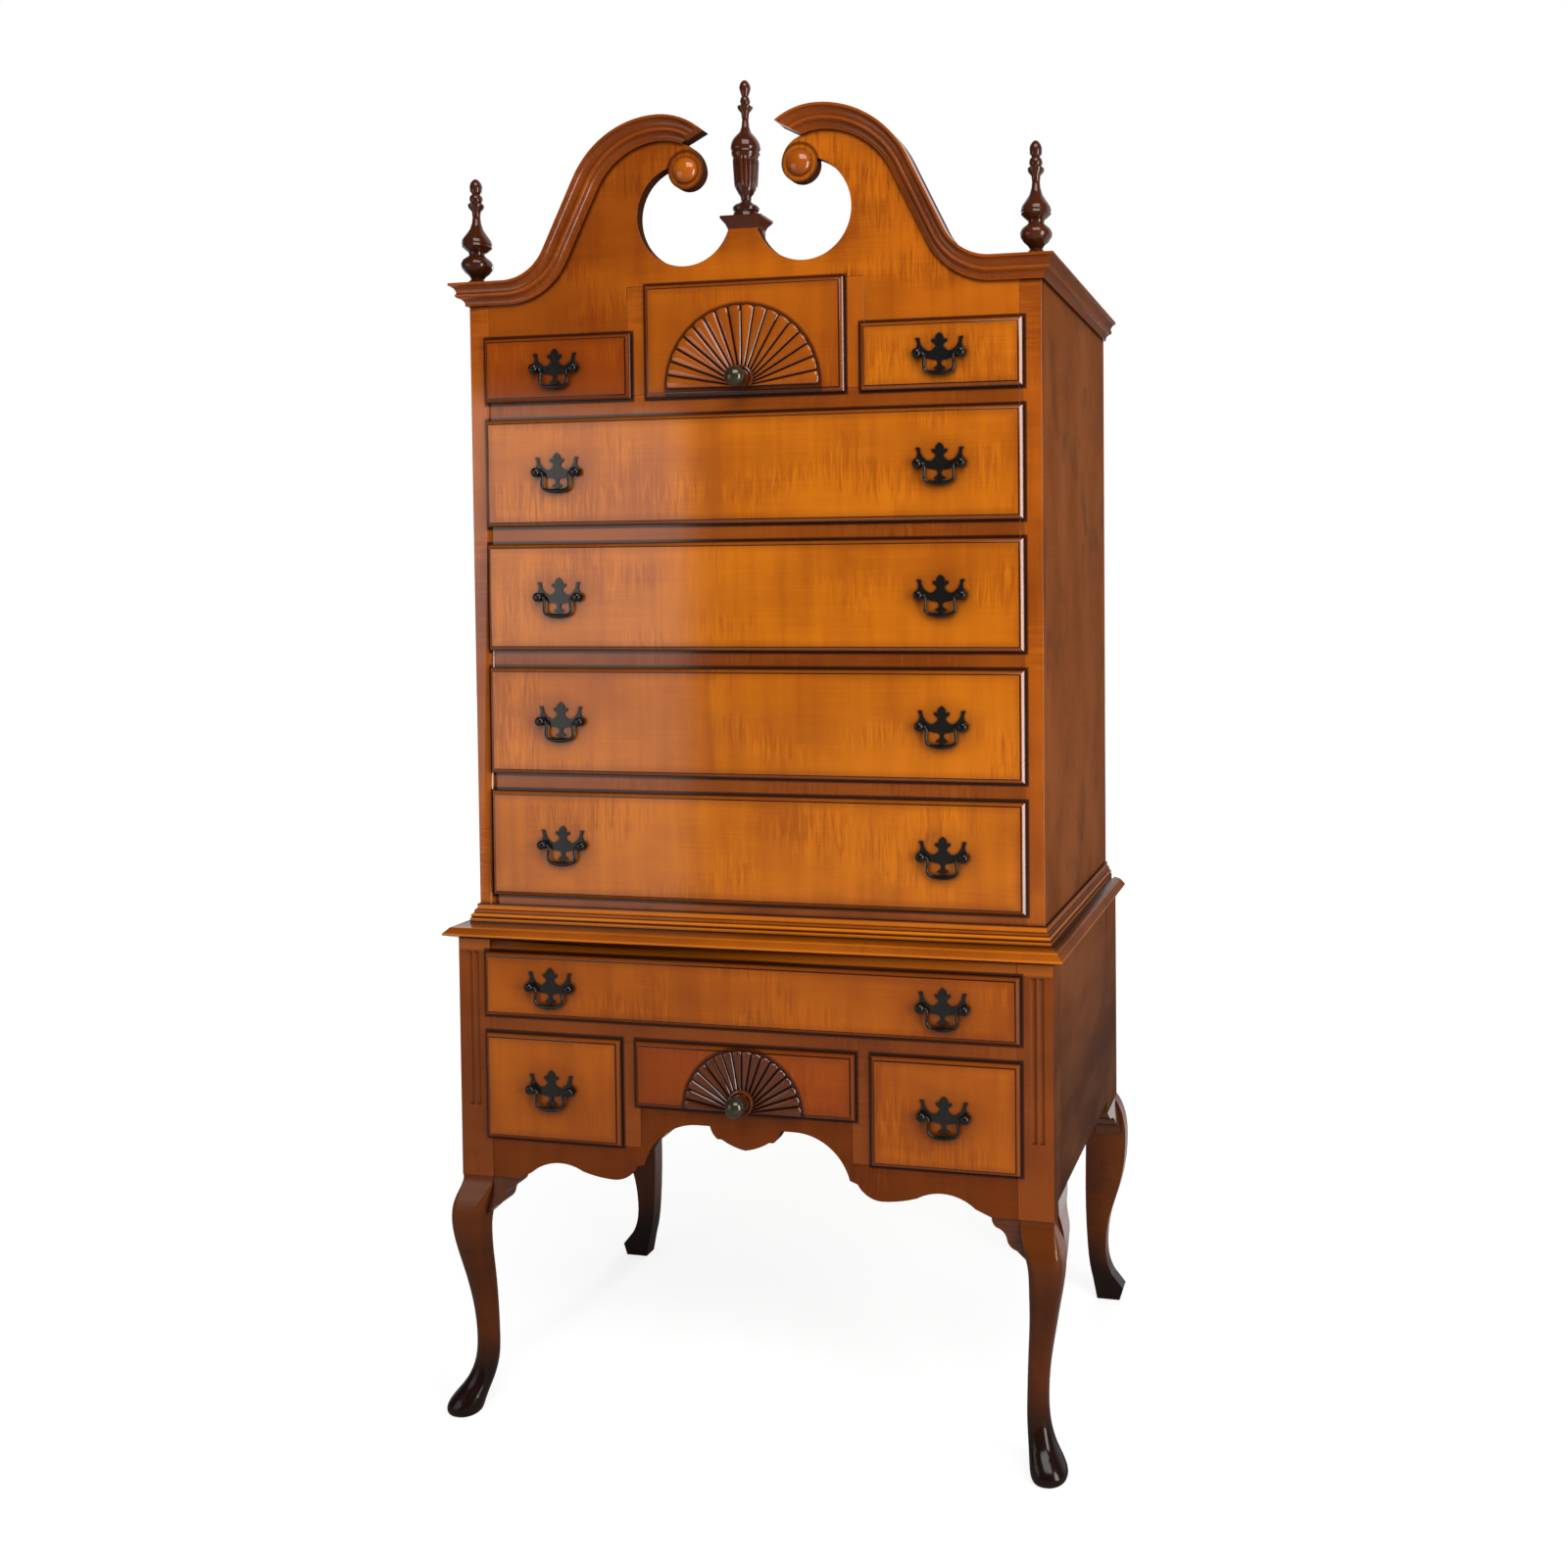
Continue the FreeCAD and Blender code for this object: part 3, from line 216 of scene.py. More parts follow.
def settle(piece):
    """Applies what is on a piece and clears its modifiers."""
    bpy.context.view_layer.update()
    done = bpy.data.meshes.new_from_object(piece.evaluated_get(bpy.context.evaluated_depsgraph_get()))
    piece.modifiers.clear()
    piece.data = done
    done.name = piece.name
    return piece


def new_piece(name, mesh, finish):
    """Puts a mesh in the scene with its finish."""
    mesh.materials.clear()
    mesh.materials.append(finish)
    piece = bpy.data.objects.new(name, mesh)
    scene.collection.objects.link(piece)
    return piece


def dressed(name, source, finish, body="case", rounding=0.0008, sharp=35, seed=1, other=None,
            drop=None):
    """A joined copy of one sub-part with softened arrises and its grain laid, in place of the plain one.
    other is a second finish with a test for the faces that take it; drop says which faces another piece
    stands for."""
    shape = bmesh.new()
    shape.from_mesh(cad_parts[source].data)
    bmesh.ops.remove_doubles(shape, verts=shape.verts, dist=0.00001)
    bmesh.ops.dissolve_limit(shape, angle_limit=math.radians(0.6), verts=shape.verts, edges=shape.edges)
    if drop:
        bmesh.ops.delete(shape, geom=[face for face in shape.faces if drop(face.calc_center_median())],
                         context="FACES")
    mesh = bpy.data.meshes.new(name)
    shape.to_mesh(mesh)
    shape.free()
    piece = new_piece(name, mesh, finish)
    if rounding:
        arris = piece.modifiers.new("arris", "BEVEL")
        arris.width = rounding
        arris.segments = 2
        arris.limit_method = "ANGLE"
        arris.angle_limit = math.radians(sharp)
        settle(piece)
    smooth_joinery(piece, sharp)
    settle(piece)
    shape = bmesh.new()
    shape.from_mesh(piece.data)
    lay_grain(shape, seed)
    shape.to_mesh(piece.data)
    shape.free()
    if other:
        piece.data.materials.append(other[0])
        for face in piece.data.polygons:
            if other[1](face):
                face.material_index = 1
    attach(piece, body)
    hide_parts(source)
    return piece


def figure(tree, place, scale, detail=3.0, rough=0.55, warp=0.0):
    """Noise stretched over the grain; scale is features per metre along, across and through the board."""
    stretched = node(tree, "ShaderNodeMapping", {0: place, 3: scale}).outputs[0]
    return node(tree, "ShaderNodeTexNoise", {"Vector": stretched, "Scale": 1.0, "Detail": detail,
                                             "Roughness": rough, "Distortion": warp}).outputs[0]


def lacquered_maple(name, pale, deep, curl=1.0, patch=1.0, streak=0.25, rough=0.5, gloss=0.02, coat=1.0,
                    polish=0.10, occlusion_shade=0.7, nook=0.006, shade=None):
    """Varnished maple: clouds, curl in clusters across the grain, faint fibre, painted shade in corners and
    gloss.
    """
    finish = bpy.data.materials.new(name)
    finish.use_nodes = True
    tree = finish.node_tree
    tree.nodes.clear()
    grain = node(tree, "ShaderNodeAttribute", attribute_name="grain").outputs["Vector"]
    fibre = figure(tree, grain, (9, 420, 420), detail=3.0)
    ripple = figure(tree, grain, (190, 16, 20), detail=2.0, warp=0.9)
    bands = figure(tree, grain, (26, 2.2, 4), detail=2.0, warp=0.6)
    cloud = figure(tree, grain, (3.2, 7, 7), detail=3.0)
    cluster = ranged(tree, figure(tree, grain, (5.5, 10, 10), detail=1.0), 0.46, 0.66)
    tone = 0.5
    for part, where, weight in ((fibre, 1.0, streak), (ripple, cluster, curl), (bands, 1.0, curl * 0.45),
                                (cloud, 1.0, patch)):
        tone = plus(tree, tone, times(tree, minus(tree, part, 0.5), weight, where))
    colour = between(tree, ranged(tree, tone, 0.15, 0.85), deep, pale)
    if shade:
        colour = shade(tree, colour, cloud)
    # Painted shade: darkens corners, hollows and the wood under overhangs, at a near and a wide reach.
    wide_nook = 0.034
    for hollow, harder in ((nook, 2.6), (wide_nook, 1.0)):
        open_share = node(tree, "ShaderNodeAmbientOcclusion", {"Distance": hollow}, samples=5).outputs["AO"]
        corner_darkness = minus(tree, 1.0, maths(tree, "POWER", open_share, harder))
        colour = between(tree, times(tree, corner_darkness, occlusion_shade), colour, (0.010, 0.003, 0.001, 1))
    height = plus(tree, times(tree, fibre, 0.25), times(tree, ripple, 0.5))
    relief = node(tree, "ShaderNodeBump", {"Strength": 0.08, "Distance": 0.0005, "Height": height}).outputs[0]
    wave = figure(tree, grain, (14, 22, 22), detail=1.0)
    film = node(tree, "ShaderNodeBump", {"Strength": 0.05, "Distance": 0.002, "Height": wave}).outputs[0]
    varnish = node(tree, "ShaderNodeBsdfPrincipled", {
        "Base Color": colour, "Roughness": rough, "Normal": relief, "Specular IOR Level": gloss,
        "Coat Weight": coat, "Coat Roughness": polish, "Coat IOR": 1.6, "Coat Normal": film})
    node(tree, "ShaderNodeOutputMaterial", {0: varnish.outputs[0]})
    return finish


def place_on(tree):
    """Where a point lies on its piece: X to the right, Y to the back and Z up, in metres."""
    spot = node(tree, "ShaderNodeTexCoord").outputs["Object"]
    return node(tree, "ShaderNodeSeparateXYZ", {0: spot}).outputs


def leg_shade(tree, colour, broad):
    """The knees are worn to a paler brown and the feet have gone nearly black."""
    uneven = plus(tree, place_on(tree)["Z"], times(tree, minus(tree, broad, 0.5), 0.10))
    rubbed_and_highlit = times(tree, ranged(tree, broad, 0.50, 0.72), 0.55)
    mottled = between(tree, rubbed_and_highlit, colour, (0.210, 0.058, 0.008, 1))
    wear_and_highlight = between(tree, ranged(tree, uneven, 0.24, 0.35), mottled, (0.135, 0.030, 0.003, 1))
    return between(tree, ranged(tree, uneven, 0.13, 0.04), wear_and_highlight, (0.012, 0.004, 0.002, 1))


leg_maple = lacquered_maple("leg_maple", (0.125, 0.026, 0.002, 1), (0.050, 0.010, 0.001, 1), curl=0.5,
                            coat=0.45, polish=0.14, shade=leg_shade)
dressed("legs", "cabriole_legs", leg_maple, rounding=0, seed=2)
bracket_maple = lacquered_maple("bracket_maple", (0.160, 0.034, 0.004, 1), (0.075, 0.015, 0.002, 1))
dressed("knee_brackets", "knee_blocks", bracket_maple, seed=3)


# ---------------------------------------------------------------- lower case
# Side panels and rear stiles, the fluted front posts with their rails, and the scrolled apron, all of maple
# under an old varnish. The sides have gone dull and mottled, the front is redder and keeps its shine.
def dull_side(tree, colour, broad):
    """The sides are painted darker towards the floor as shade, and carry a grey bloom in patches."""
    # Painted shade towards the floor.
    lower = between(tree, ranged(tree, place_on(tree)["Z"], 0.95, 0.40), colour, (0.050, 0.014, 0.004, 1))
    bloom = times(tree, ranged(tree, broad, 0.42, 0.70), 0.35)
    lower = between(tree, bloom, lower, (0.240, 0.082, 0.030, 1))
    grain = node(tree, "ShaderNodeAttribute", attribute_name="grain").outputs["Vector"]
    smudge = ranged(tree, figure(tree, grain, (8.0, 3.5, 9), detail=3.0, rough=0.6, warp=0.4), 0.52, 0.72)
    return between(tree, times(tree, smudge, 0.6), lower, (0.072, 0.028, 0.010, 1))


def gap_shadow(drawers, then=None):
    """A shade that does another first, then paints a shadow line on the wood close round each drawer's lip.
    """
    def shade(tree, colour, broad):
        if then:
            colour = then(tree, colour, broad)
        place = place_on(tree)
        nearest = 1.0
        for drawer in drawers:
            low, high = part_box(drawer + "_front")
            outside = []
            for i in (0, 2):
                from_middle = maths(tree, "ABSOLUTE", minus(tree, place[i], (low[i] + high[i]) / 2))
                outside.append(minus(tree, from_middle, (high[i] - low[i]) / 2))
            nearest = maths(tree, "MINIMUM", nearest, maths(tree, "MAXIMUM", *outside))
        # Painted shadow round the drawers' lips.
        line_end, line_core = 0.0056, 0.0028
        line = times(tree, ranged(tree, nearest, line_end, line_core), 0.85)
        return between(tree, line, colour, (0.016, 0.003, 0.001, 1))
    return shade


def rail_painted_light(tree, colour, broad):
    """Painted light: the top rail, in the shade of the board above it, is painted a clearer amber than the
    posts.
    """
    rail_foot = 0.7245
    # Painted light on the top rail.
    on_rail = times(tree, ranged(tree, place_on(tree)["Z"], rail_foot - 0.0025, rail_foot + 0.0025), 0.7)
    return between(tree, on_rail, colour, (0.620, 0.150, 0.006, 1))


lower_drawers = ("lower_long", "lower_left", "lower_right", "lower_fan")
side_maple = lacquered_maple("side_maple", (0.255, 0.068, 0.012, 1), (0.160, 0.042, 0.008, 1), curl=0.4,
                             patch=1.2, rough=0.60, gloss=0.01, coat=0.0, shade=dull_side)
post_maple = lacquered_maple("post_maple", (0.310, 0.064, 0.003, 1), (0.165, 0.032, 0.002, 1), curl=0.6,
                             coat=0.6, occlusion_shade=0.6, nook=0.005, shade=gap_shadow(lower_drawers, rail_painted_light))
apron_maple = lacquered_maple("apron_maple", (0.225, 0.043, 0.002, 1), (0.120, 0.022, 0.001, 1), coat=0.35,
                              shade=gap_shadow(lower_drawers))
sawn_edge = lacquered_maple("sawn_edge_maple", (0.075, 0.020, 0.006, 1), (0.035, 0.009, 0.003, 1), curl=0.3,
                            rough=0.60, gloss=0.01, coat=0.0)


def looks_sideways(face):
    """True for a face on the piece's side."""
    return abs(face.normal.x) > 0.7


def is_edge(face):
    """True for the sawn edge of a board that faces the front."""
    return abs(face.normal.y) < 0.6


dressed("lower_sides", "lower_case_boards", side_maple, seed=4)
dressed("lower_frame", "lower_face_frame", post_maple, seed=5,
        other=(side_maple, looks_sideways))
dressed("apron", "scrolled_apron", apron_maple, seed=6, other=(sawn_edge, is_edge))


# ---------------------------------------------------------------- waist
# The lower case's maple top board with a thin rounded lip, and a small moulding planted round the foot of the
# upper case. The beads are painted with pale highlight bands and dark shade bands, and the returns along the
# sides have gone dull.
def waist_painted_bands(rubbed_and_highlit):
    """Painted highlights and shade: the arrises of the beads are painted paler and their hollows darker. Each
    tone is given with how many millimetres it lies above the board's foot."""
    foot, rise = 0.741, 48.5
    tones = ((0, 0.45), (6.8, 0.15), (7.6, 0.70), (9.9, 0.80), (10.8, 0.42), (17.6, 0.36), (18.6, 0.75),
             (19.6, 0.30), (22.2, 0.02), (23.2, 0.75), (26.6, 1.0), (27.6, 0.10), (28.8, 0.30), (31.0, 0.80),
             (33.6, 1.0), (35.0, 0.08), (36.6, 0.50), (39.0, 0.45), (39.9, 0.12), (41.6, 0.75), (45.5, 0.90),
             (48.0, 0.10), (rise, 0.05))

    def shade(tree, colour, broad):
        above = minus(tree, place_on(tree)["Z"], foot)
        ramp = node(tree, "ShaderNodeValToRGB", {0: maths(tree, "DIVIDE", above, rise / 1000, clamp=True)})
        steps = ramp.color_ramp.elements
        for height, tone in tones[1:-1]:
            steps.new(height / rise)
        for step, (height, tone) in zip(steps, tones):
            step.color = (tone, tone, tone, 1)
        tone = ramp.outputs[0]
        # Painted shade in the hollows, then painted highlights on the arrises.
        darkening_share = minus(tree, 1.0, times(tree, tone, 2.0), clamp=True)
        colour = between(tree, darkening_share, colour, (0.022, 0.004, 0.001, 1))
        wear_and_highlight = minus(tree, times(tree, tone, 2.0), 1.0, clamp=True)
        wear_and_highlight = times(tree, wear_and_highlight, ranged(tree, broad, 0.15, 0.55, 0.5, 1.0))
        return between(tree, wear_and_highlight, colour, rubbed_and_highlit)
    return shade


waist_maple = lacquered_maple("waist_maple", (0.520, 0.124, 0.005, 1), (0.270, 0.056, 0.003, 1), curl=0.5,
                              coat=0.6, polish=0.07, occlusion_shade=0.5, nook=0.004,
                              shade=waist_painted_bands((0.800, 0.220, 0.007, 1)))
dull_red = ((0.240, 0.060, 0.009, 1), (0.120, 0.028, 0.005, 1))
waist_return = lacquered_maple("waist_return_maple", *dull_red, curl=0.4, coat=0.0,
                               shade=waist_painted_bands((0.380, 0.110, 0.018, 1)))
upper_half_width = 0.457


def on_return(face):
    """True for a moulding's run along the piece's side."""
    return abs(face.center.x) > upper_half_width and abs(face.normal.y) < 0.3


dressed("waist", "waist_moulding", waist_maple, seed=7, other=(waist_return, on_return))


# ---------------------------------------------------------------- upper case
# Plain maple side boards, and a face frame of stiles, rails and two dividers, joined flush. The rails are
# darker than the stiles.
dressed("upper_sides", "upper_case_boards", side_maple, seed=8)


def frame_shade(tree, colour, broad):
    """The rails between the stiles, up to the top row of drawers, are darker."""
    stile_edge, top_row = 0.430, 1.576
    place = place_on(tree)
    inside = ranged(tree, maths(tree, "ABSOLUTE", place["X"]), stile_edge + 0.001, stile_edge - 0.001)
    darkening_share = times(tree, inside, ranged(tree, place["Z"], top_row + 0.004, top_row - 0.004), 0.40)
    return between(tree, darkening_share, colour, (0.130, 0.026, 0.002, 1))


top_drawers = ("upper_fan", "small_left", "small_right")
long_drawers = ("long_1", "long_2", "long_3", "long_4")
frame_maple = lacquered_maple("frame_maple", (0.550, 0.125, 0.005, 1), (0.280, 0.055, 0.003, 1), curl=0.8,
                              patch=1.3, occlusion_shade=0.85,
                              shade=gap_shadow(top_drawers + long_drawers, frame_shade))
dressed("upper_frame", "upper_face_frame", frame_maple, seed=9,
        other=(side_maple, looks_sideways))


# ---------------------------------------------------------------- scrolled pediment and cornice
# One wide maple board sawn to two scrolls with round openings and lobes, edged by a swept swan-neck moulding
# that returns along the sides.
lobe_x, lobe_z = 0.091, 1.913


def off_centre(tree, centre):
    """How far a point lies from a centre, measured flat across the front of the piece."""
    spot = node(tree, "ShaderNodeTexCoord").outputs["Object"]
    off = node(tree, "ShaderNodeVectorMath", {0: spot, 1: centre}, operation="SUBTRACT").outputs[0]
    flat = node(tree, "ShaderNodeVectorMath", {0: off, 1: (1, 0, 1)}, operation="MULTIPLY").outputs[0]
    return node(tree, "ShaderNodeVectorMath", {0: flat}, operation="LENGTH").outputs["Value"]


def pediment_shade(tree, colour, broad):
    """The board is deeper in colour at its foot, its left half is painted darker as shade, and a dark ring
    lies round each lobe's rim.
    """
    place = place_on(tree)
    foot = times(tree, ranged(tree, place["Z"], 1.74, 1.68), 0.25)
    colour = between(tree, foot, colour, (0.300, 0.060, 0.002, 1))
    # Painted shade: the left half is darker.
    across = plus(tree, place["X"], times(tree, broad, 0.1))
    deep = times(tree, ranged(tree, across, 0.15, -0.25), 0.55)
    colour = between(tree, deep, colour, (0.240, 0.042, 0.002, 1))
    for x in (-lobe_x, lobe_x):
        away = off_centre(tree, (x, 0, lobe_z))
        rim = times(tree, ranged(tree, away, 0.023, 0.028), ranged(tree, away, 0.033, 0.029))
        colour = between(tree, times(tree, rim, 0.8), colour, (0.060, 0.012, 0.002, 1))
    return colour


pediment_maple = lacquered_maple("pediment_maple", (0.610, 0.146, 0.004, 1), (0.260, 0.050, 0.002, 1),
                                 curl=1.2, patch=1.6, coat=0.7, shade=gap_shadow(top_drawers, pediment_shade))
cornice_maple = lacquered_maple("cornice_maple", (0.440, 0.088, 0.003, 1), (0.190, 0.034, 0.002, 1), curl=0.4,
                                coat=0.7, polish=0.16, occlusion_shade=0.95, nook=0.010)
dull_moulding = lacquered_maple("dull_moulding_maple", *dull_red, curl=0.4, coat=0.0, occlusion_shade=0.95, nook=0.010)
dressed("pediment", "pediment_board", pediment_maple, seed=10, other=(sawn_edge, is_edge))
dressed("cornice", "cornice_moulding", cornice_maple, rounding=0.0004, sharp=30, seed=11,
        other=(dull_moulding, on_return))


# ---------------------------------------------------------------- finials, plinth and rosettes
# Turned maple finials under a dark stain on the two corners and on the middle plinth, whose urn is reeded,
# and a domed amber button in a turned ring on each lobe of the scrolls. All are dowelled in place.
def turned(name, steps, spot, finish, upright=True, cut=None):
    """A turning that stands up or faces the front; steps are (radius, how far out) in millimetres; cut is
    the level below which it stops."""
    count = 48
    shape = bmesh.new()
    rings = []
    for radius, out in steps:
        ring = []
        for i in range(count):
            turn = 2 * math.pi * i / count
            side, rise = radius * math.cos(turn) / 1000, radius * math.sin(turn) / 1000
            place = (side, rise, out / 1000) if upright else (side, -out / 1000, rise)
            ring.append(shape.verts.new(Vector(spot) + Vector(place)))
        rings.append(ring)
    for a, b in zip(rings, rings[1:]):
        for i in range(count):
            j = (i + 1) % count
            shape.faces.new((a[i], a[j], b[j], b[i]))
    shape.faces.new(rings[-1])
    shape.faces.new(reversed(rings[0]))
    if cut is not None:
        everything = list(shape.verts) + list(shape.edges) + list(shape.faces)
        bmesh.ops.bisect_plane(shape, geom=everything, plane_co=(0, 0, cut), plane_no=(0, 0, -1),
                               clear_outer=True)
        bmesh.ops.holes_fill(shape, edges=[edge for edge in shape.edges if len(edge.link_faces) == 1])
    bmesh.ops.recalc_face_normals(shape, faces=shape.faces)
    lay_grain(shape, seed=77)
    mesh = bpy.data.meshes.new(name)
    shape.to_mesh(mesh)
    shape.free()
    piece = new_piece(name, mesh, finish)
    smooth_joinery(piece, sharp=38)
    return settle(piece)


def grown(name, tree, values, finish, place=(0, 0, 0), path=None):
    """Runs a node tree with its named values, on a path where it follows one, and keeps a plain mesh."""
    seed_mesh = bpy.data.meshes.new(name)
    if path:
        seed_mesh.from_pydata(path, [(i, i + 1) for i in range(len(path) - 1)], [])
    piece = new_piece(name, seed_mesh, finish)
    maker = piece.modifiers.new("maker", "NODES")
    maker.node_group = tree
    for item in tree.interface.items_tree:
        if item.in_out == "INPUT" and item.name in values:
            maker[item.identifier] = values[item.name]
    settle(piece)
    piece.data.transform(Matrix.Translation(place))
    shape = bmesh.new()
    shape.from_mesh(piece.data)
    lay_grain(shape, seed=80)
    shape.to_mesh(piece.data)
    shape.free()
    return piece


def new_tree(name, values, follows=False):
    """An empty geometry tree with its named sizes; returns the tree and the sockets that give them."""
    tree = bpy.data.node_groups.new(name, "GeometryNodeTree")
    tree.interface.new_socket("Geometry", in_out="OUTPUT", socket_type="NodeSocketGeometry")
    if follows:
        tree.interface.new_socket("Path", in_out="INPUT", socket_type="NodeSocketGeometry")
    for label, value in values.items():
        kind = "NodeSocketInt" if isinstance(value, int) else "NodeSocketFloat"
        tree.interface.new_socket(label, in_out="INPUT", socket_type=kind).default_value = value
    return tree, node(tree, "NodeGroupInput").outputs


def close_tree(tree, geometry, finish):
    """Ends a tree with a realised, smooth mesh in its finish."""
    whole = node(tree, "GeometryNodeRealizeInstances", {0: geometry}).outputs[0]
    whole = node(tree, "GeometryNodeSetShadeSmooth", {0: whole}).outputs[0]
    whole = node(tree, "GeometryNodeSetMaterial", {"Geometry": whole, "Material": finish}).outputs[0]
    node(tree, "NodeGroupOutput", {0: whole})
    return tree


def unit_grid(tree, along, across):
    """A flat grid one unit square, and where each of its points lies."""
    grid = node(tree, "GeometryNodeMeshGrid", {
        "Size X": 1.0, "Size Y": 1.0, "Vertices X": along, "Vertices Y": across}).outputs[0]
    spot = node(tree, "GeometryNodeInputPosition").outputs[0]
    return grid, node(tree, "ShaderNodeSeparateXYZ", {0: spot}).outputs


def copied_round(tree, grid, spot, count, facing, finish):
    """Bends a grid to the given places and copies it, each copy turned as facing says."""
    shape = node(tree, "GeometryNodeSetPosition", {"Geometry": grid, "Position": spot}).outputs[0]
    shape = node(tree, "GeometryNodeFlipFaces", {0: shape}).outputs[0]
    row = node(tree, "GeometryNodeMeshLine", {"Count": count, "Offset": (0, 0, 0)}).outputs[0]
    ring = node(tree, "GeometryNodeInstanceOnPoints", {"Points": row, "Instance": shape, "Rotation": facing})
    return close_tree(tree, ring.outputs[0], finish)


reed_sizes = {"Reeds": 16, "Top": 0.0180, "Foot": 0.0152, "Rise": 0.046, "Proud": 0.0017}


def reed_tree(finish):
    """Half-round reeds that stand round a tapering urn."""
    tree, given = new_tree("urn_reeds", reed_sizes)
    grid, place = unit_grid(tree, 13, 9)
    up = plus(tree, place[0], 0.5)
    across = times(tree, place[1], 2.0)
    pitch = maths(tree, "DIVIDE", 2 * math.pi, given["Reeds"])
    turn = times(tree, place[1], 0.94, pitch)
    round_off = maths(tree, "POWER", minus(tree, 1.0, times(tree, across, across)), 0.5)
    from_middle = maths(tree, "ABSOLUTE", minus(tree, times(tree, up, 2.0), 1.0))
    ends = maths(tree, "POWER", minus(tree, 1.0, maths(tree, "POWER", from_middle, 8.0)), 0.5)
    wall = plus(tree, given["Foot"], times(tree, up, minus(tree, given["Top"], given["Foot"])))
    out = plus(tree, wall, times(tree, round_off, ends, given["Proud"]))
    spot = node(tree, "ShaderNodeCombineXYZ", {
        0: times(tree, out, maths(tree, "COSINE", turn)), 1: times(tree, out, maths(tree, "SINE", turn)),
        2: times(tree, up, given["Rise"])}).outputs[0]
    angle = times(tree, node(tree, "GeometryNodeInputIndex").outputs[0], pitch)
    facing = node(tree, "ShaderNodeCombineXYZ", {2: angle}).outputs[0]
    return copied_round(tree, grid, spot, given["Reeds"], facing, finish)


finial_maple = lacquered_maple("finial_maple", (0.110, 0.021, 0.004, 1), (0.030, 0.006, 0.002, 1), curl=0.4,
                               coat=0.75, polish=0.12, occlusion_shade=0.95, nook=0.005)
button_maple = lacquered_maple("button_maple", (0.560, 0.130, 0.004, 1), (0.340, 0.066, 0.002, 1), curl=0.3,
                               occlusion_shade=0.95, nook=0.004)
plinth_top, plinth_reach = 1.8395, 0.06
dressed("plinth", "finials_and_rosettes", finial_maple, rounding=0.0004, sharp=32, seed=12,
        drop=lambda spot: spot.z > plinth_top + 0.0002 or abs(spot.x) > plinth_reach)
urn_finial = [
    (20.4, 0), (19.7, 4.4), (17.7, 8.5), (19.7, 11.2), (19.7, 15.3), (17.0, 18.7), (10.9, 21.4), (7.5, 25.5),
    (8.2, 31.6), (11.2, 35.7), (15.0, 42.5), (16.6, 52.7), (17.6, 69.6), (18.2, 88.3), (19.7, 90.7),
    (21.4, 95.1), (20.4, 98.5), (22.0, 100.9), (22.0, 105.3), (21.0, 110.4), (19.4, 114.5), (15.3, 120.6),
    (8.8, 127.4), (5.8, 135.9), (4.8, 146.1), (6.0, 156.3), (10.9, 162.0), (11.5, 165.4), (6.0, 169.2),
    (7.5, 173.3), (6.5, 178.3), (4.8, 181.1), (6.8, 186.8), (8.5, 193.6), (7.6, 198.2), (6.1, 201.4),
    (3.4, 204.4), (0.6, 205.5)]
bell_finial = [
    (19.6, 0), (16.2, 4.0), (11.5, 7.4), (9.4, 10.8), (12.1, 15.2), (17.9, 20.2), (22.6, 27.0), (23.6, 32.7),
    (21.2, 38.8), (16.2, 43.2), (11.5, 47.2), (12.1, 51.3), (17.5, 55.7), (21.9, 60.0), (21.2, 63.2),
    (22.3, 65.0), (21.3, 67.0), (21.6, 69.2), (18.9, 74.2), (14.2, 81.0), (9.8, 87.7), (6.7, 97.8),
    (5.7, 106.3), (6.7, 115.4), (11.5, 120.8), (12.1, 125.5), (8.1, 129.5), (9.8, 133.2), (9.1, 138.3),
    (5.7, 142.3), (8.8, 146.7), (9.1, 154.5), (7.9, 159.0), (6.1, 161.9), (3.4, 164.9), (0.6, 166.0)]
domed_button = [(19.4, 0), (19.4, 1.6), (18.6, 3.4), (17.0, 5.6), (14.6, 7.6), (11.4, 9.4), (7.6, 10.6),
                (3.6, 11.2), (0.5, 11.3)]
urn_y, reeds_up = -0.1976, 0.0435
corner_x, corner_y, corner_top = 0.448, -0.2031, 1.758
lobe_face = -0.2116
crowning = [turned("middle_finial", urn_finial, (0, urn_y, plinth_top), finial_maple),
            grown("finial_reeds", reed_tree(finial_maple), reed_sizes, finial_maple,
                  place=(0, urn_y, plinth_top + reeds_up))]
for word, side in (("left", -1), ("right", 1)):
    corner = (side * corner_x, corner_y, corner_top)
    crowning.append(turned(word + "_finial", bell_finial, corner, finial_maple))
    lobe = (side * lobe_x, lobe_face, lobe_z)
    crowning.append(turned(word + "_button", domed_button, lobe, button_maple, upright=False))
for piece in crowning:
    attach(piece, "case")
    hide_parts("finials_and_rosettes")
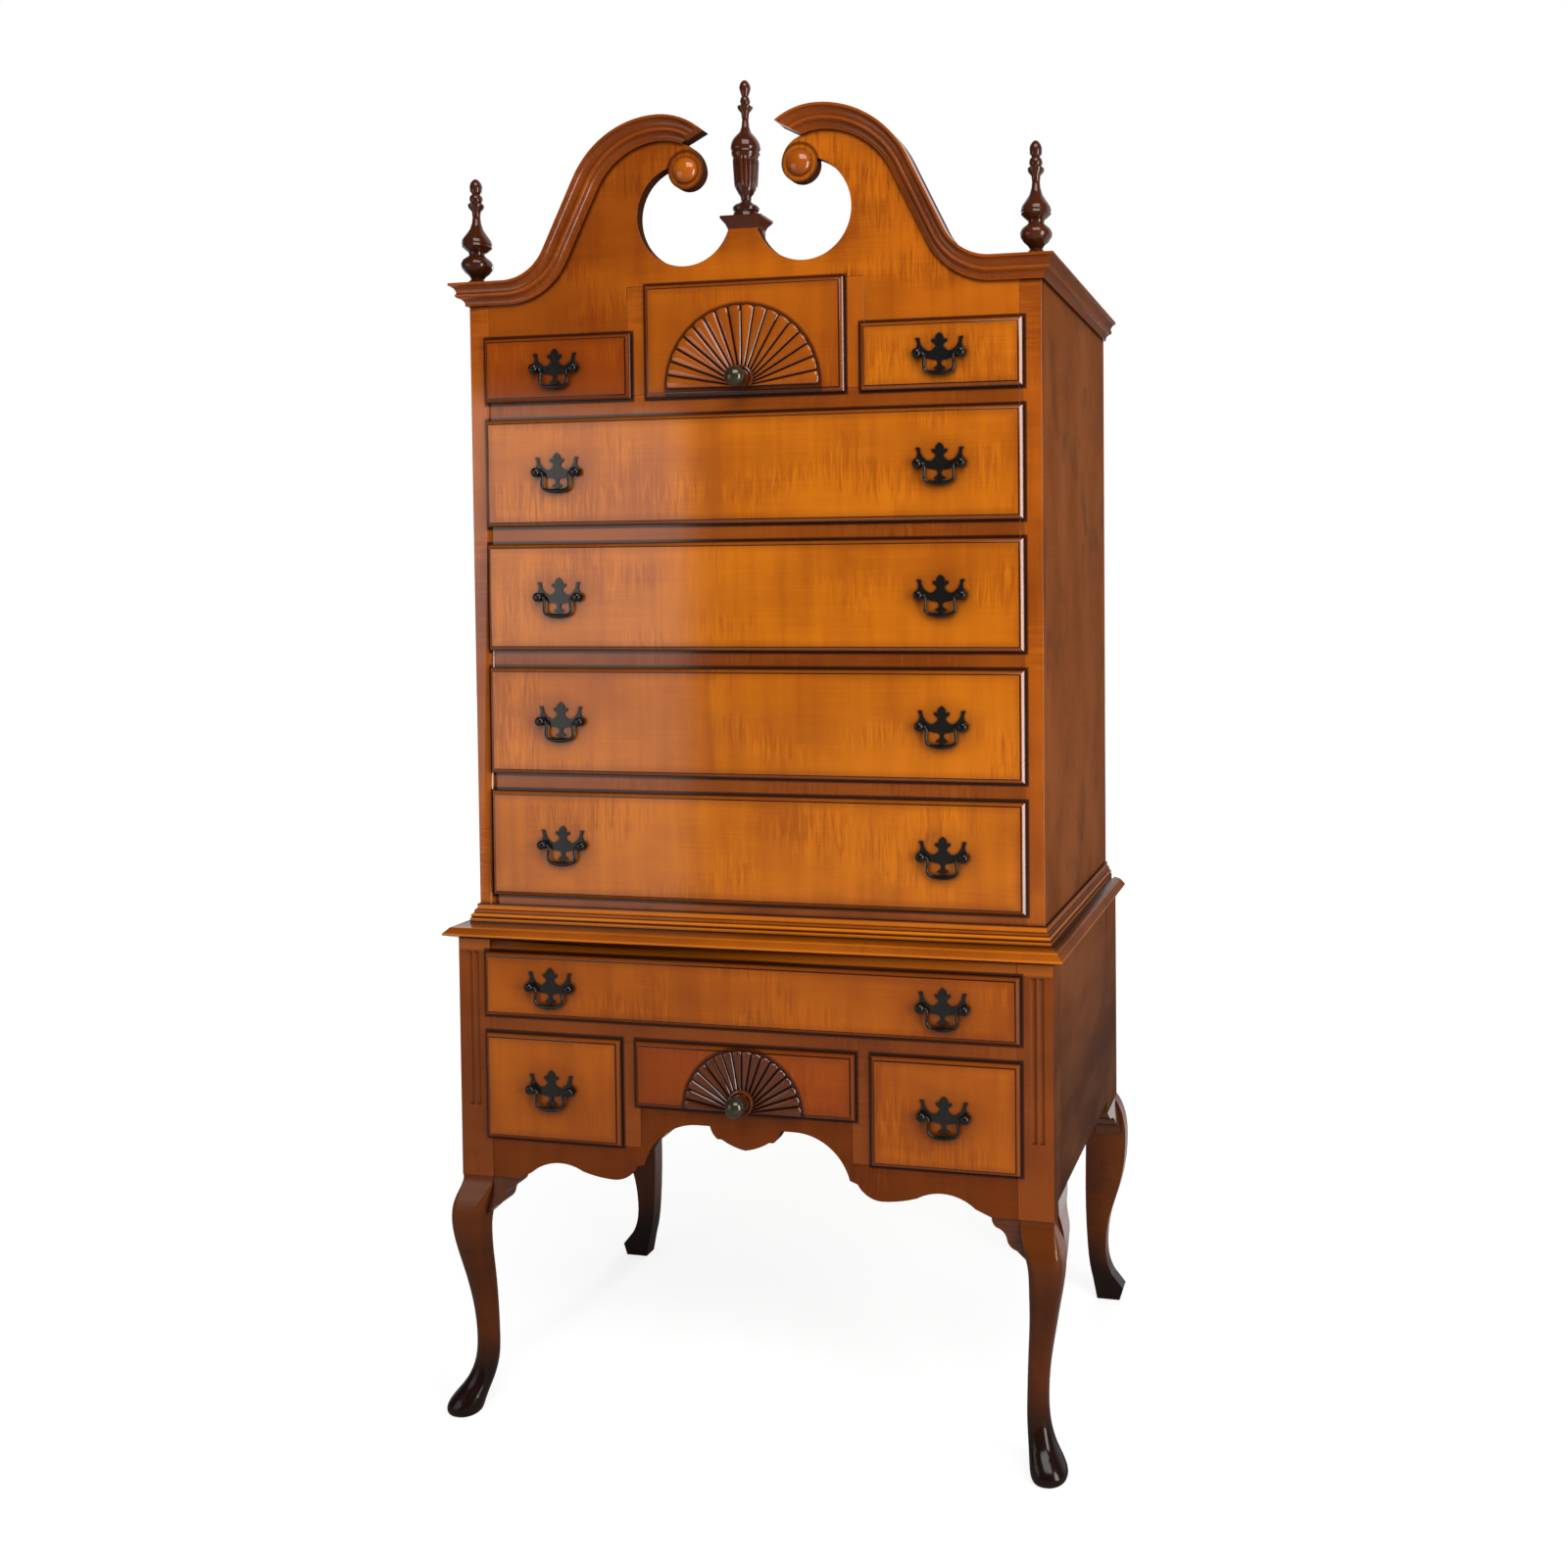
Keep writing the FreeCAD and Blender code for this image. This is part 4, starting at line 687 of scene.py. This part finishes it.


# ---------------------------------------------------------------- drawer fronts
# Curly maple boards with a thumbnail moulding worked on the lip all round. The field is a clear amber, the
# lip and the wood about the pulls have darkened with wax and handling, and shadow lines are painted at the
# lip's outer edge and inner step.
def front_shade(tree, colour, broad):
    """Darkens a front towards its lip and round its pulls, and paints shadow lines at the lip's outer edge
    and inner step, from the places stored on its corners.
    """
    spot = node(tree, "ShaderNodeAttribute", attribute_name="field").outputs["Vector"]
    half = node(tree, "ShaderNodeAttribute", attribute_name="reach").outputs["Vector"]
    from_middle = node(tree, "ShaderNodeVectorMath", {0: spot}, operation="ABSOLUTE").outputs[0]
    at = node(tree, "ShaderNodeSeparateXYZ", {0: from_middle}).outputs
    to = node(tree, "ShaderNodeSeparateXYZ", {0: half}).outputs
    rim = maths(tree, "MINIMUM", minus(tree, to[0], at[0]), minus(tree, to[1], at[1]))
    waxy = between(tree, 0.45, colour, (0.150, 0.028, 0.002, 1))
    # Painted shadow lines at the lip's outer edge and inner step.
    moulding = between(tree, ranged(tree, rim, 0.0006, 0.0028), (0.008, 0.002, 0.001, 1), waxy)
    moulding = between(tree, ranged(tree, rim, 0.0050, 0.0062), moulding, (0.016, 0.004, 0.001, 1))
    lip = between(tree, ranged(tree, rim, 0.0076, 0.0070), colour, moulding)
    uneven = plus(tree, rim, times(tree, broad, 0.01))
    lip = between(tree, times(tree, ranged(tree, uneven, 0.026, 0.010), 0.38), lip, (0.16, 0.032, 0.003, 1))
    from_pull = times(tree, minus(tree, at[0], to[2]), 0.75)
    flat = node(tree, "ShaderNodeCombineXYZ", {0: from_pull, 1: at[1]}).outputs[0]
    away = node(tree, "ShaderNodeVectorMath", {0: flat}, operation="LENGTH").outputs["Value"]
    handled = times(tree, ranged(tree, away, 0.056, 0.020), 0.38)
    return between(tree, handled, lip, (0.17, 0.034, 0.003, 1))


def fan_rim_shadow(centre, radius):
    """The shade of a front, and a painted shadow on the ground close round its carved fan."""
    def shade(tree, colour, broad):
        away = off_centre(tree, (0, 0, centre))
        # Painted shadow round the fan.
        shade_share = times(tree, ranged(tree, away, radius + 0.0070, radius + 0.0020), 0.8)
        return between(tree, shade_share, front_shade(tree, colour, broad), (0.030, 0.006, 0.001, 1))
    return shade


def lipped_front(drawer, finish, pull_reach, seed):
    """A drawer front made of rectangular rings from its back to its field, with a thumbnail edge."""
    low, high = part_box(drawer + "_front")
    thick, rebate, lip_back, lip_bend = 0.0203, 0.0075, 0.008, 0.0064
    face = high.y - thick
    rings = [(rebate, high.y), (rebate, face + lip_back), (0.0, face + lip_back), (0.0, face + lip_bend)]
    rings += [(inset / 1000, face + depth / 1000) for inset, depth in (
        (0.1, 5.7), (0.45, 5.0), (1.1, 4.35), (2.0, 3.66), (3.2, 2.80), (4.4, 1.95), (5.2, 1.50), (5.9, 1.28),
        (6.6, 1.20), (6.75, 1.15), (6.85, 0.15), (7.1, 0.0))]
    shape = bmesh.new()
    field = shape.loops.layers.float_vector.new("field")
    reach = shape.loops.layers.float_vector.new("reach")
    loops = []
    for inset, y in rings:
        x0, x1 = low.x + inset, high.x - inset
        z0, z1 = low.z + inset, high.z - inset
        loops.append([shape.verts.new(p) for p in ((x0, y, z0), (x1, y, z0), (x1, y, z1), (x0, y, z1))])
    for a, b in zip(loops, loops[1:]):
        for i in range(4):
            j = (i + 1) % 4
            shape.faces.new((a[i], a[j], b[j], b[i]))
    shape.faces.new(loops[-1])
    shape.faces.new(reversed(loops[0]))
    middle = (low + high) / 2
    half = (high - low) / 2
    lay_grain(shape, seed)
    for flat in shape.faces:
        for corner in flat.loops:
            co = corner.vert.co
            corner[field] = (co.x - middle.x, co.z - middle.z, 0)
            corner[reach] = (half.x, half.z, pull_reach)
    mesh = bpy.data.meshes.new(drawer + "_board")
    shape.to_mesh(mesh)
    shape.free()
    piece = new_piece(drawer + "_board", mesh, finish)
    smooth_joinery(piece, sharp=32)
    settle(piece)
    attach(piece, drawer + "_drawer")
    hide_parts(drawer + "_front")
    return face


amber = ((0.700, 0.185, 0.004, 1), (0.440, 0.098, 0.003, 1))
deeper = ((0.420, 0.078, 0.002, 1), (0.270, 0.044, 0.002, 1))
browner = ((0.540, 0.126, 0.003, 1), (0.340, 0.068, 0.002, 1))
front_maple = lacquered_maple("front_maple", *amber, curl=1.5, shade=front_shade)
# The small left front is painted darker, as shade on the left side.
shaded_left_maple = lacquered_maple("deep_front_maple", *deeper, coat=0.55, shade=front_shade)
lower_maple = lacquered_maple("lower_front_maple", *browner, curl=1.3, coat=0.6, shade=front_shade)
# The height of each fan's centre, and its radius.
fan_sizes = {"upper_fan": (1.5845, 0.122), "lower_fan": (0.4995, 0.094)}
upper_ground = lacquered_maple("upper_ground_maple", *browner, shade=fan_rim_shadow(*fan_sizes["upper_fan"]))
lower_ground = lacquered_maple("lower_ground_maple", *deeper, coat=0.55,
                               shade=fan_rim_shadow(*fan_sizes["lower_fan"]))
upper_pull, lower_pull = 0.306, 0.313  # how far paired pulls stand from the middle
face_plane = {}
for number, (drawer, finish, pull_reach) in enumerate((
        ("long_1", front_maple, upper_pull), ("long_2", front_maple, upper_pull),
        ("long_3", front_maple, upper_pull), ("long_4", front_maple, upper_pull),
        ("small_left", shaded_left_maple, 0.0), ("small_right", front_maple, 0.0), ("upper_fan", upper_ground, 0.0),
        ("lower_long", lower_maple, lower_pull), ("lower_left", lower_maple, 0.0),
        ("lower_right", lower_maple, 0.0), ("lower_fan", lower_ground, 0.0))):
    face_plane[drawer] = lipped_front(drawer, finish, pull_reach, 20 + number)


# ---------------------------------------------------------------- carved fans
# A half-round fan is carved on each middle drawer: eighteen flat petals with bevelled edges that widen from a
# ringed hub to scalloped ends. One petal is made and turned round the hub.
petal_sizes = {"Petals": 18, "Radius": 0.1, "Hub": 0.012, "Relief": 0.0036, "Bevel": 0.0034,
               "Scallop": 0.0035}


def petal_tree(finish):
    """Flat petals with bevelled sides and ends, copied round half a circle, with a sharp groove between."""
    tree, given = new_tree("fan_petals", petal_sizes)
    rows, bevel_rows = 18, 6
    grid, place = unit_grid(tree, rows + 1, 13)
    out = plus(tree, place[0], 0.5)
    side = times(tree, place[1], 2.0)
    pitch = maths(tree, "DIVIDE", math.pi, given["Petals"])

    def bevel(share, last, steps, room, bevel_run):
        """Distance from an edge for points that crowd on the bevel, and how high the bevel is there."""
        foot, foot_height = 0.09, 0.34
        crowd = times(tree, bevel_run, maths(tree, "POWER", times(tree, share, steps), 1.5))
        inner = maths(tree, "GREATER_THAN", share, last)
        run = plus(tree, times(tree, inner, room), times(tree, minus(tree, 1.0, inner), crowd))
        part = maths(tree, "DIVIDE", run, bevel_run, clamp=True)
        wall = times(tree, maths(tree, "DIVIDE", part, foot, clamp=True), foot_height)
        slope = maths(tree, "DIVIDE", minus(tree, part, foot), 1 - foot, clamp=True)
        slope = minus(tree, 1.0, maths(tree, "POWER", minus(tree, 1.0, slope), 1.35))
        return run, plus(tree, wall, times(tree, slope, 1 - foot_height))

    length = minus(tree, given["Radius"], given["Hub"])
    from_rim = minus(tree, 1.0, out)
    past_bevel = maths(tree, "DIVIDE", minus(tree, from_rim, bevel_rows / rows), (rows - bevel_rows) / rows)
    plain = plus(tree, given["Bevel"], times(tree, past_bevel, minus(tree, length, given["Bevel"])))
    back, end_height = bevel(from_rim, (bevel_rows - 0.5) / rows, rows / bevel_rows, plain, given["Bevel"])
    far = minus(tree, given["Radius"], back)
    half_width = times(tree, far, pitch, 0.49)
    side_run = maths(tree, "MINIMUM", given["Bevel"], times(tree, half_width, 0.8))
    from_side = minus(tree, 1.0, maths(tree, "ABSOLUTE", side))
    in_from, side_height = bevel(from_side, 0.9, 1.2, half_width, side_run)
    off = times(tree, maths(tree, "SIGN", side), minus(tree, half_width, in_from))
    share = maths(tree, "DIVIDE", off, half_width)
    drawn = times(tree, share, share, given["Scallop"])
    far = minus(tree, far, times(tree, drawn, maths(tree, "POWER", out, 3.0)))
    turn = maths(tree, "DIVIDE", off, far)
    lift = times(tree, times(tree, end_height, side_height), times(tree, given["Relief"], -1.0))
    spot = node(tree, "ShaderNodeCombineXYZ", {
        0: times(tree, far, maths(tree, "SINE", turn)), 1: lift,
        2: times(tree, far, maths(tree, "COSINE", turn))}).outputs[0]
    step = plus(tree, node(tree, "GeometryNodeInputIndex").outputs[0], 0.5)
    angle = minus(tree, times(tree, step, pitch), math.pi / 2)
    facing = node(tree, "ShaderNodeCombineXYZ", {1: angle}).outputs[0]
    return copied_round(tree, grid, spot, given["Petals"], facing, finish)


def carved_shade(face):
    """Painted shade darkens the grooves, below the flats of the carving."""
    def shade(tree, colour, broad):
        # Painted shade in the grooves.
        shade_share = ranged(tree, place_on(tree)["Y"], face - 0.0029, face - 0.0013)
        return between(tree, shade_share, colour, (0.020, 0.004, 0.001, 1))
    return shade


upper_carving = lacquered_maple("upper_fan_maple", (0.470, 0.106, 0.004, 1), (0.260, 0.052, 0.002, 1),
                                curl=0.4, polish=0.06, occlusion_shade=0.95, nook=0.004,
                                shade=carved_shade(face_plane["upper_fan"]))
lower_carving = lacquered_maple("lower_fan_maple", (0.150, 0.032, 0.005, 1), (0.080, 0.016, 0.003, 1),
                                curl=0.3, polish=0.06, occlusion_shade=0.9, nook=0.004,
                                shade=carved_shade(face_plane["lower_fan"]))
hub_maple = lacquered_maple("hub_maple", (0.170, 0.036, 0.006, 1), (0.090, 0.018, 0.003, 1), polish=0.06)
ringed_hub = [(20, 0), (20, 6.5), (19.2, 8.4), (17.6, 9.0), (16.0, 8.4), (15.0, 6.6), (13.8, 6.4),
              (12.6, 7.4), (4, 7.8)]
for drawer, finish, hub_z in (("upper_fan", upper_carving, 1.5965), ("lower_fan", lower_carving, 0.516)):
    face = face_plane[drawer]
    centre, radius = fan_sizes[drawer]
    petals = grown(drawer + "_petals", petal_tree(finish), {**petal_sizes, "Radius": radius + 0.001}, finish,
                   place=(0, face, centre))
    hub = turned(drawer + "_hub", ringed_hub, (0, face, hub_z), hub_maple, upright=False, cut=centre)
    for piece in (petals, hub):
        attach(piece, drawer + "_drawer")
        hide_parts(drawer + "_front")


# ---------------------------------------------------------------- drawer boxes, runners and back boards
# Behind the maple everything is a plain pale secondary wood: drawer sides, floors and backs, the runners and
# guides they slide on, and the thin boards let in behind both cases.
pale_wood = lacquered_maple("drawer_wood", (0.52, 0.35, 0.19, 1), (0.36, 0.22, 0.11, 1), curl=0.2, streak=1.0,
                            rough=0.6, gloss=0.25, coat=0.0, occlusion_shade=0.5)
dressed("runners_and_guides", "drawer_runners", pale_wood, seed=50)
dressed("back_boards", "back_panels", pale_wood, seed=51)
for number, drawer in enumerate(face_plane):
    dressed(drawer + "_tray", drawer + "_box", pale_wood, drawer + "_drawer", seed=60 + number)


# ---------------------------------------------------------------- pulls and knobs
# Cast bat-wing plates, posts with domed heads and wire bails, of brass that has gone nearly black, and a
# round turned knob on each fan's hub.
def old_brass(name, tone, wear_and_highlight):
    """Brass under a dark skin, rubbed a little brighter where it stands proud."""
    finish = bpy.data.materials.new(name)
    finish.use_nodes = True
    tree = finish.node_tree
    tree.nodes.clear()
    place = node(tree, "ShaderNodeTexCoord").outputs["Object"]
    blotch = figure(tree, place, (180, 180, 180), detail=3.0)
    buried = node(tree, "ShaderNodeAmbientOcclusion", {"Distance": 0.006}, samples=8, inside=True)
    edge = ranged(tree, buried.outputs["AO"], 0.75, 0.25)
    rubbed_and_highlit = maths(tree, "MULTIPLY", plus(tree, edge, ranged(tree, blotch, 0.55, 0.75)), 0.4, clamp=True)
    colour = between(tree, rubbed_and_highlit, tone, wear_and_highlight)
    bump = node(tree, "ShaderNodeBump", {"Strength": 0.15, "Distance": 0.0003, "Height": blotch}).outputs[0]
    skin = node(tree, "ShaderNodeBsdfPrincipled", {
        "Base Color": colour, "Metallic": 0.6, "Normal": bump, "Coat Weight": 0.4, "Coat Roughness": 0.06,
        "Roughness": plus(tree, times(tree, blotch, 0.2), 0.06)})
    node(tree, "ShaderNodeOutputMaterial", {0: skin.outputs[0]})
    return finish


dark_brass = old_brass("dark_brass", (0.009, 0.010, 0.010, 1), (0.045, 0.042, 0.036, 1))
knob_brass = old_brass("knob_brass", (0.070, 0.058, 0.032, 1), (0.13, 0.10, 0.06, 1))
bail_sizes = {"Wire": 0.0021, "Grip": 0.0035, "Pin": 0.0018}


def loop_tree(finish):
    """A cast bail that follows its path, swells towards the middle of its grip and has thinner pins."""
    tree, given = new_tree("bail_loop", bail_sizes, follows=True)
    path = node(tree, "GeometryNodeMeshToCurve", {0: given["Path"]}).outputs[0]
    path = node(tree, "GeometryNodeCurveSplineType", {0: path}, spline_type="CATMULL_ROM").outputs[0]
    path = node(tree, "GeometryNodeResampleCurve", {"Curve": path, "Count": 57}).outputs[0]
    along = node(tree, "GeometryNodeSplineParameter").outputs["Factor"]
    middle = maths(tree, "ABSOLUTE", minus(tree, times(tree, along, 2.0), 1.0))
    swell = times(tree, ranged(tree, middle, 0.50, 0.0), minus(tree, given["Grip"], given["Wire"]))
    pin = times(tree, ranged(tree, middle, 0.84, 0.90), minus(tree, given["Pin"], given["Wire"]))
    thick = plus(tree, plus(tree, given["Wire"], swell), pin)
    round_wire = node(tree, "GeometryNodeCurvePrimitiveCircle", {"Resolution": 12, "Radius": 1.0}).outputs[0]
    loop = node(tree, "GeometryNodeCurveToMesh", {
        "Curve": path, "Profile Curve": round_wire, "Scale": thick, "Fill Caps": True})
    return close_tree(tree, loop.outputs[0], finish)


loop_maker = loop_tree(dark_brass)
arm = [(31.5, 0), (30.0, 0), (28.5, 0), (27.0, 0), (25.2, -0.2), (23.6, -1.0), (21.9, -4.5), (22.0, -10.0),
       (22.8, -16.0), (22.4, -21.5), (19.4, -25.8), (13.0, -28.0), (6.0, -28.8)]
bail_path = arm + [(0, -29.0)] + [(-x, z) for x, z in reversed(arm)]
round_knob = [(4.6, 11), (4.6, 13.2), (9.5, 14.0), (13.3, 17.2), (15.2, 21.5), (15.5, 25.5), (14.9, 29.5),
              (12.8, 33.3), (9.2, 36.2), (4.8, 38.0), (0.6, 38.4)]
knob_neck = 0.0140
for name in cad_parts:
    drawer = name.rsplit("_bail", 1)[0].rsplit("_pulls", 1)[0].rsplit("_knob", 1)[0]
    low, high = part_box(name)
    middle = (low + high) / 2
    if name.endswith("_pulls"):
        dressed(drawer + "_plates", name, dark_brass, drawer + "_drawer", rounding=0.0003,
                sharp=38)
    elif "_bail" in name:
        pin_z = high.z - bail_sizes["Wire"]
        path = [(middle.x + x / 1000, middle.y, pin_z + z / 1000) for x, z in bail_path]
        loop = grown(name.replace("_bail", "_loop"), loop_maker, bail_sizes, dark_brass, path=path)
        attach(loop, name)
        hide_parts(name)
    elif name.endswith("_knob"):
        face = face_plane[drawer]
        dressed(drawer + "_knob_shank", name, knob_brass, drawer + "_drawer", rounding=0,
                sharp=38, drop=lambda spot: spot.y < face - knob_neck)
        spot = (middle.x, face, middle.z)
        ball = turned(drawer + "_knob_ball", round_knob, spot, knob_brass, upright=False)
        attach(ball, drawer + "_drawer")
        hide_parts(name)
